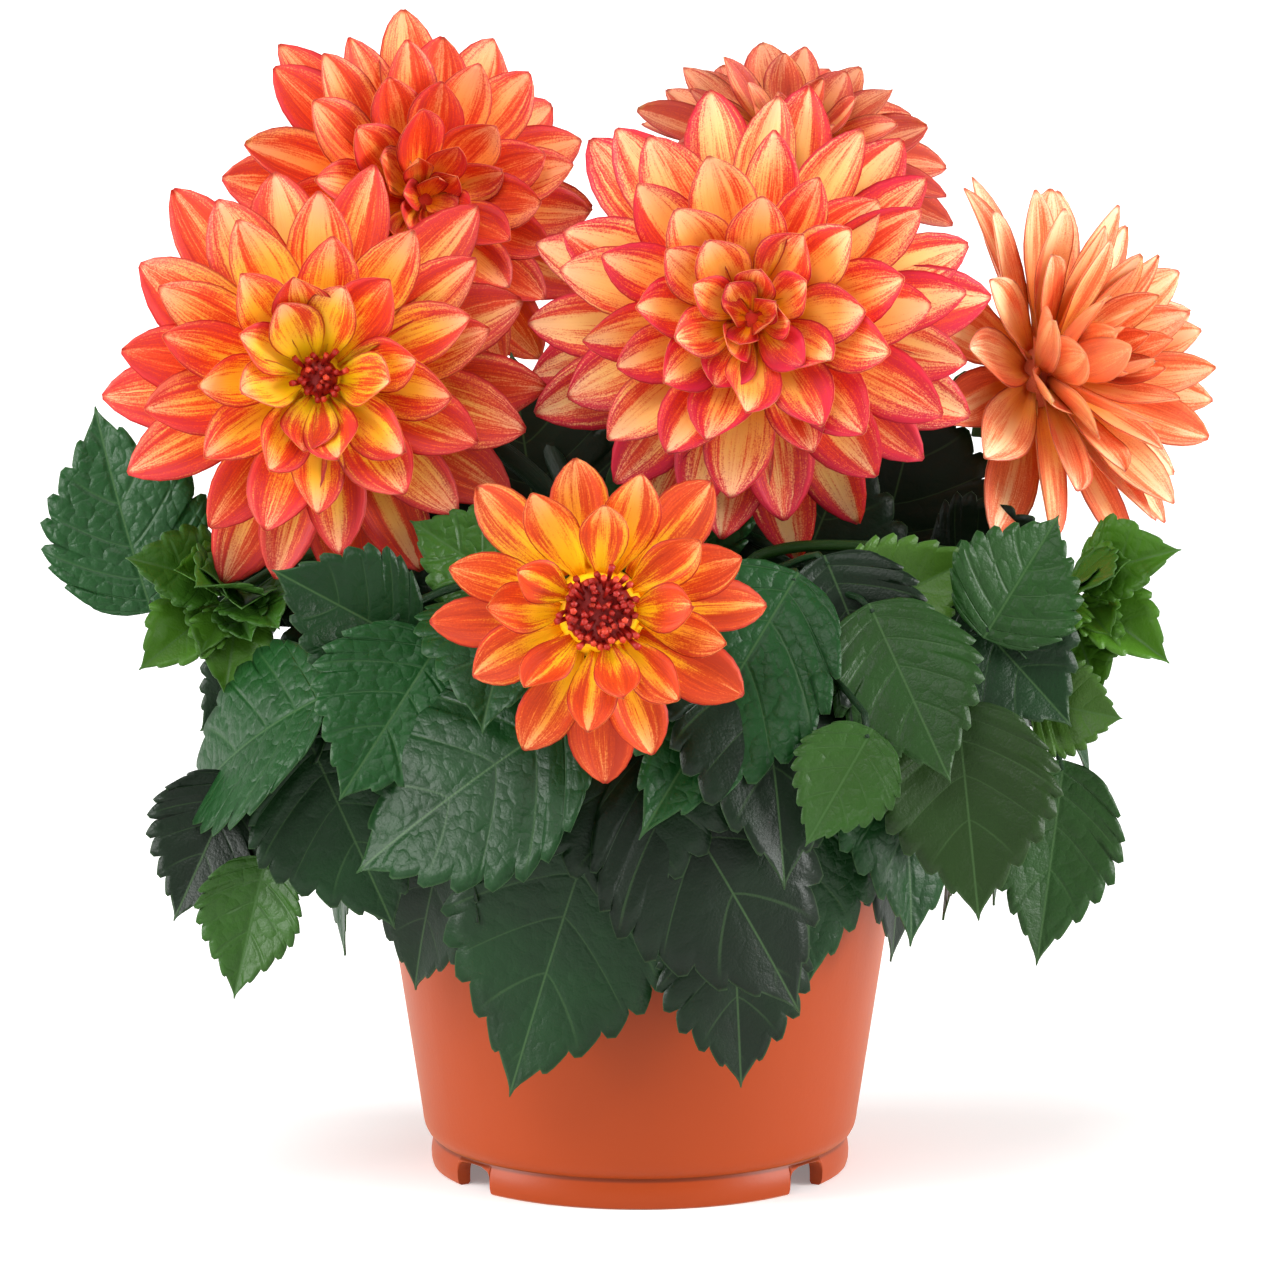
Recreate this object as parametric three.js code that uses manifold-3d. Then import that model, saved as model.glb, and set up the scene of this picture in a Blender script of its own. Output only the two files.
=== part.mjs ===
// Potted dahlia: six flower heads on leafy stems, rooted in a round plastic pot.
// Millimetres, +Z up. The origin is the middle of the pot's foot, on the surface it stands on.
// The front, where the small head looks out, is towards -Y.
import * as THREE from 'three';
import { mergeVertices } from 'three/addons/utils/BufferGeometryUtils.js';
import Module from 'manifold-3d';

const wasm = await Module();
wasm.setup();

// Driving dimensions of the pot
const POT_HEIGHT = 115;
const RIM_RADIUS = 68;
const RIM_BAND = 15;
const WALL_LOW_RADIUS = 52.4;
const WALL_LOW_HEIGHT = 13.2;
const WALL_TAPER = 0.1515;
const WALL_THICKNESS = 1.9;
const FOOT_RADIUS = 50.3;
const FOOT_HEIGHT = 7;
const FOOT_THICKNESS = 3.4;
const FLOOR_THICKNESS = 2;
const FLOOR_UNDERSIDE = 7.6;
const POT_SIDES = 36;
const NOTCH_ANGLES = [-128, -52, 52, 128];
const NOTCH_WIDTH = 12.7;
const NOTCH_HEIGHT = 6.4;
const DRAIN_RADIUS = 4;
const DRAIN_RING_RADIUS = 30;
const DRAIN_COUNT = 6;

// Soil, its stem holes and the gap that touching pieces keep
const SOIL_TOP = 106;
const GAP = 0.35;
const HOLE_DEPTH = 32;

// Stems and leaf stalks
const STEM_RADIUS = 2.5;
const STEM_DEPTH = 28;
const COLLAR_HEIGHT = 5;
const CALYX_DEPTH = 8;
const SHOOT_RADIUS = 1.75;
const STALK_RADIUS = 1.3;
const STALK_REACHES = [30, 54, 66, 88, 110];
const LEAF_THICKNESS = 1.6;

// Flower heads: a full head's core is this share of its radius
const GOLDEN_ANGLE = 137.508;
const CORE_SHARE = 0.25;
const CORE_BACK = 6;
const CORE_SIDES = 8;
const ROOT_DEPTH = 3.2;
const PETAL_THICKNESS = 1.4;
const DISC_SEAT = 4.6;

const toRadians = THREE.MathUtils.degToRad;
const lerp = THREE.MathUtils.lerp;

// A repeatable random draw between 0 and 1
function makeRandom(seed) {
  let state = seed;
  return () => {
    state = (state * 16807) % 2147483647;
    return state / 2147483647;
  };
}

// A closed mesh with merged corners becomes a solid that can be joined and cut
function toSolid(geometry) {
  const bare = geometry.clone();
  bare.deleteAttribute('normal');
  bare.deleteAttribute('uv');
  const merged = mergeVertices(bare, 1e-4);
  const vertProperties = new Float32Array(merged.attributes.position.array);
  const triVerts = new Uint32Array(merged.index.array);
  return new wasm.Manifold(new wasm.Mesh({ numProp: 3, vertProperties, triVerts }));
}

function toGeometry(solid) {
  const mesh = solid.getMesh();
  const geometry = new THREE.BufferGeometry();
  const positions = new THREE.BufferAttribute(new Float32Array(mesh.vertProperties), mesh.numProp);
  geometry.setAttribute('position', positions);
  geometry.setIndex(new THREE.BufferAttribute(new Uint32Array(mesh.triVerts), 1));
  geometry.computeVertexNormals();
  return geometry;
}

// Joined pieces as one body: a hollow that joining seals is filled, and a loose scrap is dropped
function joinAll(geometries) {
  const whole = geometries.map(toSolid).reduce((sum, piece) => sum.add(piece));
  const bodies = whole.decompose();
  return bodies.reduce((most, body) => (body.volume() > most.volume() ? body : most));
}

// A geometry from corner points and triangles of corner numbers
function fromCorners(points, triangles) {
  const geometry = new THREE.BufferGeometry().setFromPoints(points);
  geometry.setIndex(triangles.flat());
  return geometry;
}

// A closed thin blade about a run of places, from a four-cornered root to one shared point.
// Its edges have a corner at each of one list of places and its middle at each of another.
// corner(place, side, up) gives the point: side -1, 0 or 1 across, up -1 or 1 through the middle.
// Both faces are split into triangles alike.
function bladeGeometry(edges, middles, corner, point) {
  const chains = [
    edges.map((place) => corner(place, -1, 0)),
    middles.map((place) => corner(place, 0, 1)),
    edges.map((place) => corner(place, 1, 0)),
    middles.map((place) => corner(place, 0, -1)),
  ];
  const points = [...chains.flat(), point];
  const end = points.length - 1;
  const edgeCount = edges.length;
  const starts = [0, edgeCount, edgeCount + middles.length, 2 * edgeCount + middles.length];
  const triangles = [[starts[0], starts[1], starts[2]], [starts[0], starts[2], starts[3]]];
  const strips = [[0, 1, false], [2, 1, true], [2, 3, false], [0, 3, true]];
  for (const [edgeChain, middleChain, flipped] of strips) {
    const edge = [...edges.keys()].map((i) => starts[edgeChain] + i).concat(end);
    const middle = [...middles.keys()].map((i) => starts[middleChain] + i).concat(end);
    let e = 0;
    let m = 0;
    while (e < edgeCount || m < middles.length) {
      const edgeNext = e < edgeCount ? edges[e + 1] ?? 1 : Infinity;
      const middleNext = m < middles.length ? middles[m + 1] ?? 1 : Infinity;
      const alongEdge = edgeNext <= middleNext;
      const next = alongEdge ? edge[e + 1] : middle[m + 1];
      if (edge[e] !== next && middle[m] !== next && edge[e] !== middle[m]) {
        triangles.push(flipped ? [edge[e], middle[m], next] : [edge[e], next, middle[m]]);
      }
      e += alongEdge ? 1 : 0;
      m += alongEdge ? 0 : 1;
    }
  }
  return fromCorners(points, triangles);
}

function polygonShape(radius, sides) {
  const shape = new THREE.Shape();
  for (let i = 0; i < sides; i += 1) {
    const turn = (i / sides) * 2 * Math.PI;
    const corner = [radius * Math.cos(turn), radius * Math.sin(turn)];
    if (i === 0) {
      shape.moveTo(...corner);
    } else {
      shape.lineTo(...corner);
    }
  }
  shape.closePath();
  return shape;
}

function tubeAlong(curve, radius, sides, steps) {
  const options = { steps, bevelEnabled: false, extrudePath: curve };
  return new THREE.ExtrudeGeometry(polygonShape(radius, sides), options);
}

// A turned body standing on +Z, from a profile of [radius, height] pairs
function turned(profile, sides) {
  const points = profile.map(([radius, height]) => new THREE.Vector2(radius, height));
  return new THREE.LatheGeometry(points, sides).rotateX(Math.PI / 2);
}

// The turning from +Z to the way a head faces
function facingTurn(facing) {
  const up = new THREE.Vector3(0, 0, 1);
  return new THREE.Quaternion().setFromUnitVectors(up, facing.clone().normalize());
}

// Pot: one moulded wall with a rim band, a rounded lower edge, a notched foot ring and a holed floor
function wallRadius(height) {
  return WALL_LOW_RADIUS + WALL_TAPER * (height - WALL_LOW_HEIGHT);
}

function potProfile() {
  const bandBottom = POT_HEIGHT - RIM_BAND;
  const footInside = FOOT_RADIUS - FOOT_THICKNESS;
  const floorTop = FLOOR_UNDERSIDE + FLOOR_THICKNESS;
  return [
    [0, FLOOR_UNDERSIDE],
    [footInside, FLOOR_UNDERSIDE],
    [footInside, 0],
    [FOOT_RADIUS - 1, 0],
    [FOOT_RADIUS, 3],
    [FOOT_RADIUS - 0.7, FOOT_HEIGHT],
    [WALL_LOW_RADIUS - 1.1, FOOT_HEIGHT + 1.8],
    [WALL_LOW_RADIUS, WALL_LOW_HEIGHT],
    [wallRadius(bandBottom), bandBottom],
    [RIM_RADIUS - 0.4, bandBottom + 0.8],
    [RIM_RADIUS, POT_HEIGHT - 1],
    [RIM_RADIUS - 1, POT_HEIGHT],
    [RIM_RADIUS - 2.4, POT_HEIGHT],
    [RIM_RADIUS - 3, bandBottom + 1],
    [wallRadius(bandBottom) - WALL_THICKNESS - 0.2, bandBottom - 1.5],
    [wallRadius(floorTop + 5) - WALL_THICKNESS, floorTop + 5],
    [WALL_LOW_RADIUS - 5, floorTop],
    [0, floorTop],
  ];
}

function notchCutter(angle) {
  const shape = new THREE.Shape();
  const half = NOTCH_WIDTH / 2;
  const corner = 2.6;
  shape.moveTo(-half, -1);
  shape.lineTo(half, -1);
  shape.lineTo(half - 0.6, NOTCH_HEIGHT - corner);
  shape.lineTo(half - corner, NOTCH_HEIGHT);
  shape.lineTo(corner - half, NOTCH_HEIGHT);
  shape.lineTo(0.6 - half, NOTCH_HEIGHT - corner);
  shape.closePath();
  const cutter = new THREE.ExtrudeGeometry(shape, { depth: 12, bevelEnabled: false });
  cutter.rotateX(Math.PI / 2);
  cutter.translate(0, 6 - FOOT_RADIUS, 0);
  return cutter.rotateZ(toRadians(angle));
}

function drainCutter(index) {
  const turn = (index / DRAIN_COUNT) * 2 * Math.PI;
  const cutter = new THREE.CylinderGeometry(DRAIN_RADIUS, DRAIN_RADIUS, 12, 8);
  cutter.rotateX(Math.PI / 2);
  const x = DRAIN_RING_RADIUS * Math.cos(turn);
  const y = DRAIN_RING_RADIUS * Math.sin(turn);
  return cutter.translate(x, y, FLOOR_UNDERSIDE + FLOOR_THICKNESS / 2);
}

function potGeometry() {
  let solid = toSolid(turned(potProfile(), POT_SIDES));
  for (const angle of NOTCH_ANGLES) {
    solid = solid.subtract(toSolid(notchCutter(angle)));
  }
  for (let i = 0; i < DRAIN_COUNT; i += 1) {
    solid = solid.subtract(toSolid(drainCutter(i)));
  }
  return toGeometry(solid);
}

// Soil: fills the pot to below its rim, with a plain hole for each stem
function soilGeometry(stemFeet) {
  const bandBottom = POT_HEIGHT - RIM_BAND;
  const floorTop = FLOOR_UNDERSIDE + FLOOR_THICKNESS;
  const profile = [
    [0, floorTop + GAP],
    [WALL_LOW_RADIUS - 5.2 - GAP, floorTop + GAP],
    [wallRadius(floorTop + 5) - WALL_THICKNESS - 2 * GAP, floorTop + 5 + GAP],
    [wallRadius(bandBottom) - WALL_THICKNESS - 0.2 - 2 * GAP, bandBottom - 1.5],
    [RIM_RADIUS - 4 - GAP, SOIL_TOP],
    [0, SOIL_TOP + 2],
  ];
  let solid = toSolid(turned(profile, POT_SIDES));
  for (const foot of stemFeet) {
    const hole = new THREE.CylinderGeometry(STEM_RADIUS + GAP, STEM_RADIUS + GAP, HOLE_DEPTH + 10, 8);
    hole.rotateX(Math.PI / 2);
    hole.translate(foot.x, foot.y, SOIL_TOP + 10 - (HOLE_DEPTH + 10) / 2);
    solid = solid.subtract(toSolid(hole));
  }
  return toGeometry(solid);
}

// Petals: a cupped, pointed blade with a narrow root. The outer ones are bent at one place more.
const OUTER_PLACES = [0, 0.42, 0.74];
const INNER_PLACES = [0, 0.6];
const INNER_FROM = 0.5;

function petalHalfWidth(along) {
  return 0.24 + 0.74 * Math.sin(Math.PI * along ** 1.2);
}

function petalGeometry({ turn, opening, bend, length, width, cup, thickness, root, roll, places }) {
  const centre = (along) => {
    const angle = toRadians(opening + bend * (along * 0.5 - 0.25));
    const reach = along * length;
    return new THREE.Vector2(Math.sin(angle), Math.cos(angle)).multiplyScalar(reach).add(root);
  };
  const corner = (along, side, up) => {
    const at = centre(along);
    const ahead = centre(along + 0.05).sub(at).normalize();
    const normal = new THREE.Vector2(-ahead.y, ahead.x);
    const reach = (petalHalfWidth(along) * width) / 2;
    const lift = side === 0 ? (up * thickness) / 2 : reach * (cup + side * roll);
    at.addScaledVector(normal, lift);
    return new THREE.Vector3(at.x, side * reach, at.y);
  };
  const tip = centre(1);
  const point = new THREE.Vector3(tip.x, 0, tip.y);
  return bladeGeometry(places, places, corner, point).rotateZ(toRadians(turn));
}

// Flower heads: where the receptacle sits, the way it faces, its radius and its petals.
// Petals stand in a spiral, from the outermost, which bends back, to the innermost.
// Each stem rises from its foot in the soil by way of hand-chosen points to the back of its head.
const HEADS = [
  {
    name: 'upper_left',
    seat: [-55, 38, 228],
    facing: [0.33, -0.93, 0.2],
    radius: 51,
    petals: 28,
    openings: [100, 14],
    innerShare: 0.46,
    colour: '#ef7a52',
    seed: 1103,
    foot: [-12, 7],
    via: [[-17, 14, 160], [-48, 52, 208]],
  },
  {
    name: 'left_front',
    seat: [-74.5, -24, 192],
    facing: [0.02, -0.99, 0.12],
    radius: 54,
    petals: 29,
    openings: [100, 36],
    innerShare: 0.46,
    disc: 6.4,
    colour: '#f08a3c',
    seed: 2207,
    foot: [-12, -5],
    via: [[-18, -3, 158], [-60, -3, 188]],
  },
  {
    name: 'centre_right',
    seat: [26, -18, 205],
    facing: [-0.01, -0.99, 0.12],
    radius: 56.5,
    petals: 30,
    openings: [101, 12],
    innerShare: 0.46,
    colour: '#f4a37c',
    seed: 3301,
    foot: [9, -9],
    via: [[12, 0, 162], [22, 2, 196]],
  },
  {
    name: 'top_right',
    seat: [36, 60, 236],
    facing: [0.12, -0.6, 0.79],
    radius: 43.5,
    petals: 22,
    openings: [98, 16],
    innerShare: 0.5,
    colour: '#ef7a52',
    seed: 4409,
    foot: [7, 11],
    via: [[11, 24, 165], [30, 62, 212]],
  },
  {
    name: 'right',
    seat: [95, 35, 187],
    facing: [0.72, -0.58, 0.34],
    radius: 51,
    petals: 26,
    openings: [88, 20],
    innerShare: 0.8,
    colour: '#f2763f',
    seed: 5501,
    foot: [14, 1],
    via: [[22, 10, 156], [58, 30, 176]],
  },
  {
    name: 'small_front',
    seat: [-9, -98, 147.5],
    facing: [0.02, -0.98, 0.14],
    radius: 40,
    petals: 20,
    openings: [97, 56],
    innerShare: 0.66,
    disc: 8.2,
    colour: '#f08a3c',
    seed: 6607,
    foot: [-3.5, -13],
    via: [[-5, -22, 142], [-7, -58, 150]],
  },
];

function headPetals(head) {
  const random = makeRandom(head.seed);
  const petals = [];
  for (let i = 0; i < head.petals; i += 1) {
    const share = i / (head.petals - 1);
    const opening = lerp(...head.openings, share) + (random() - 0.5) * 2;
    const across = toRadians(opening);
    const coreReach = head.radius * CORE_SHARE - ROOT_DEPTH;
    const root = new THREE.Vector2(coreReach * Math.sin(across), coreReach * Math.cos(across));
    if (head.disc) {
      root.set(head.disc + lerp(1.4, 0.2, share), lerp(-3, DISC_SEAT - 1.6, share));
    }
    const reach = head.radius * lerp(1, head.innerShare, share) * (0.96 + 0.06 * random());
    petals.push(petalGeometry({
      turn: i * GOLDEN_ANGLE,
      opening,
      bend: lerp(24, -56, share),
      length: reach - root.length(),
      width: head.radius * lerp(0.43, 0.24, share),
      cup: lerp(0.16, 0.4, share),
      thickness: PETAL_THICKNESS,
      root,
      roll: (random() - 0.5) * 0.12,
      places: share < INNER_FROM ? OUTER_PLACES : INNER_PLACES,
    }));
  }
  return petals;
}

// Receptacle: a dome that the petals stand out of, or a flat seat where the head has an open disc
function headCore(head) {
  if (head.disc) {
    return turned([
      [0, -CORE_BACK],
      [7.5, -CORE_BACK],
      [head.disc + 3.6, -2.6],
      [head.disc + 1.2, DISC_SEAT],
      [0, DISC_SEAT],
    ], CORE_SIDES);
  }
  const core = head.radius * CORE_SHARE;
  return turned([
    [0, -CORE_BACK],
    [7.5, -CORE_BACK],
    [core, -1],
    [core * 0.72, core * 0.72],
    [0, core],
  ], CORE_SIDES);
}

function headGeometry(head) {
  return toGeometry(joinAll([headCore(head), ...headPetals(head)]));
}

// Disc: a low dome with short pointed florets standing out of it, larger than life
function floretGeometry(turn, reach, rise, height) {
  const floret = new THREE.ConeGeometry(1.3, height, 4, 1);
  floret.rotateX(Math.PI / 2);
  floret.translate(reach, 0, rise + height / 2 - 1.2);
  return floret.rotateZ(turn);
}

function discGeometry(head) {
  const random = makeRandom(head.seed);
  const base = DISC_SEAT + GAP;
  const dome = turned([
    [0, base],
    [head.disc - 0.9, base],
    [head.disc - 0.5, base + 1],
    [head.disc * 0.6, base + 2.6],
    [0, base + 3.2],
  ], 12);
  const pieces = [dome];
  const count = Math.round(0.2 * head.disc * head.disc);
  for (let i = 0; i < count; i += 1) {
    const share = Math.sqrt((i + 0.5) / count);
    const rise = base + 3 - 1.9 * share * share;
    const turn = toRadians(i * GOLDEN_ANGLE);
    pieces.push(floretGeometry(turn, share * (head.disc - 1.8), rise, 3.6 + random()));
  }
  return toGeometry(joinAll(pieces));
}

// Leaves lie on nested surfaces turned about the pot's axis, so that no two layers meet.
// Each layer is a curve of [radius, height], from the stems out over the rim and down.
const LAYERS = [
  [[14, 114], [42, 119], [66, 120], [74, 104], [75, 75], [74, 35], [73, 15]],
  [[14, 123], [40, 128], [67, 127], [81, 108], [87, 80], [89, 45], [89, 25]],
  [[14, 132], [38, 137], [64, 135], [84, 118], [95, 90], [101, 60], [104, 40]],
  [[14, 141], [38, 146], [64, 144], [89, 130], [106, 104], [116, 72], [121, 46]],
  [[14, 152], [38, 158], [64, 158], [92, 147], [113, 124], [127, 96], [134, 72]],
].map((points) => points.map(([radius, height]) => new THREE.Vector2(radius, height)))
  .map((points) => new THREE.SplineCurve(points));

// A point of a layer: the arc from the stems, a sideways distance and a lift off the surface
function onLayer(layer, azimuth, arc, side, lift) {
  const curve = LAYERS[layer];
  const share = Math.min(Math.max(arc / curve.getLength(), 0), 1);
  const at = curve.getPointAt(share);
  const along = curve.getTangentAt(share);
  const turn = toRadians(azimuth) + side / Math.max(at.x, 30);
  const radius = at.x - along.y * lift;
  const height = at.y + along.x * lift;
  return new THREE.Vector3(radius * Math.cos(turn), radius * Math.sin(turn), height);
}

// Leaf blade: an ovate outline with four blunt forward teeth a side and a drawn-out tip
const TEETH = [0.12, 0.31, 0.5, 0.68];
const NOTCH_STEP = 0.05;
const NOTCH_SHARE = 0.8;

function bladeHalfWidth(along) {
  const body = Math.sin(Math.PI * along ** 0.62);
  return Math.max(body, 0) ** 0.85 * (1 - 0.3 * along);
}

// A leaf: a square stalk along the given places, which widens into the toothed blade.
// place(along, side, lift) is a point of the blade's own surface, measured from its foot.
function leafGeometry(stalk, place, { length, width, teeth = TEETH, fold = 2.6, wave = 0.7 }) {
  const foot = place(0, 0, 0);
  const sideways = place(0, 1, 0).sub(place(0, -1, 0)).normalize();
  const path = [...stalk, foot];
  const notches = teeth.map((along) => along + NOTCH_STEP);
  const stalkPlaces = stalk.map((_, index) => index - stalk.length);
  const edges = [...stalkPlaces, 0, ...teeth.flatMap((along, index) => [along, notches[index]])];
  const middles = [...stalkPlaces, 0, ...teeth];
  const stalkCorner = (index, side, up) => {
    const ahead = path[index + 1].clone().sub(path[Math.max(index - 1, 0)]).normalize();
    const normal = new THREE.Vector3().crossVectors(ahead, sideways).normalize();
    const across = new THREE.Vector3().crossVectors(normal, ahead);
    const at = path[index].clone().addScaledVector(across, side * STALK_RADIUS);
    return at.addScaledVector(normal, up * STALK_RADIUS);
  };
  const corner = (along, side, up) => {
    if (along < 0) {
      return stalkCorner(along + stalk.length, side, up);
    }
    if (side === 0) {
      return place(along * length, 0, up * LEAF_THICKNESS * lerp(0.5, 0.35, along));
    }
    const notched = notches.includes(along);
    const share = bladeHalfWidth(along) * (notched ? NOTCH_SHARE : 1);
    const half = along === 0 ? STALK_RADIUS : (share * width) / 2;
    const ripple = notched ? -wave : wave;
    return place(along * length, side * half, (fold + ripple) * (half / width) * 2);
  };
  return bladeGeometry(edges, middles, corner, place(length, 0, 0));
}

// A leaf on its layer. Its stalk leaves the stem at the layer's own height and keeps to the layer.
function layerLeaf(stem, leaf) {
  const { layer, azimuth, arc, yaw = 0 } = leaf;
  const turn = toRadians(yaw);
  const place = (along, across, lift) => {
    const outward = along * Math.cos(turn) - across * Math.sin(turn);
    const side = along * Math.sin(turn) + across * Math.cos(turn);
    return onLayer(layer, azimuth, arc + outward, side, lift);
  };
  const start = stem.pointAtHeight(LAYERS[layer].points[0].y);
  const reaches = STALK_REACHES.filter((reach) => reach < arc - 6);
  const path = reaches.map((reach) => onLayer(layer, azimuth, reach, 0, 0));
  return leafGeometry([start, ...path], place, leaf);
}

// A leaf that stands clear of the layers: from its foot to its tip, with its face turned to a side
function freeLeaf(stem, leaf) {
  const { base, tip, face, from, via = [], curl = 0 } = leaf;
  const foot = new THREE.Vector3(...base);
  const along = new THREE.Vector3(...tip).sub(foot);
  const length = along.length();
  along.normalize();
  const across = new THREE.Vector3().crossVectors(new THREE.Vector3(...face), along).normalize();
  const normal = new THREE.Vector3().crossVectors(along, across);
  const place = (reach, side, lift) => foot.clone()
    .addScaledVector(along, reach)
    .addScaledVector(across, side)
    .addScaledVector(normal, lift + curl * (reach / length) ** 2);
  const path = via.map((point) => new THREE.Vector3(...point));
  const start = leaf.start ?? stem.pointAtHeight(from);
  return leafGeometry([start, ...path], place, { ...leaf, length });
}

function leafGeometries(stem, leaf) {
  return leaf.base ? freeLeaf(stem, leaf) : layerLeaf(stem, leaf);
}

// Stem: straight in its soil hole, then a curve up to the back of the head
function makeStem({ seat, facing, foot, via }) {
  const top = new THREE.Vector3(...seat);
  const way = new THREE.Vector3(...facing).normalize();
  const bottom = new THREE.Vector3(foot[0], foot[1], SOIL_TOP - STEM_DEPTH);
  const collar = new THREE.Vector3(foot[0], foot[1], SOIL_TOP + COLLAR_HEIGHT);
  const sunk = collar.clone().setZ(collar.z - 3);
  const back = top.clone().addScaledVector(way, -CORE_BACK - CALYX_DEPTH / 2);
  const points = [sunk, collar, ...via.map((point) => new THREE.Vector3(...point)), back];
  const curve = new THREE.CatmullRomCurve3(points, false, 'centripetal');
  const samples = curve.getSpacedPoints(80);
  const pointAtHeight = (height) => samples.find((point) => point.z >= height) ?? samples.at(-1);
  return { bottom, collar, top, way, curve, pointAtHeight };
}

function footGeometry(stem) {
  const straight = new THREE.CylinderGeometry(STEM_RADIUS, STEM_RADIUS, stem.collar.z - stem.bottom.z, 8);
  straight.rotateX(Math.PI / 2);
  straight.translate(stem.bottom.x, stem.bottom.y, (stem.collar.z + stem.bottom.z) / 2);
  return straight;
}

function stemGeometries(stem) {
  const calyx = turned([
    [0, -CORE_BACK - CALYX_DEPTH],
    [5.4, -CORE_BACK - 5],
    [7, -CORE_BACK - GAP],
    [0, -CORE_BACK - GAP],
  ], 8);
  calyx.applyQuaternion(facingTurn(stem.way));
  calyx.translate(...stem.top);
  return [footGeometry(stem), tubeAlong(stem.curve, STEM_RADIUS, 6, 7), calyx];
}

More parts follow.
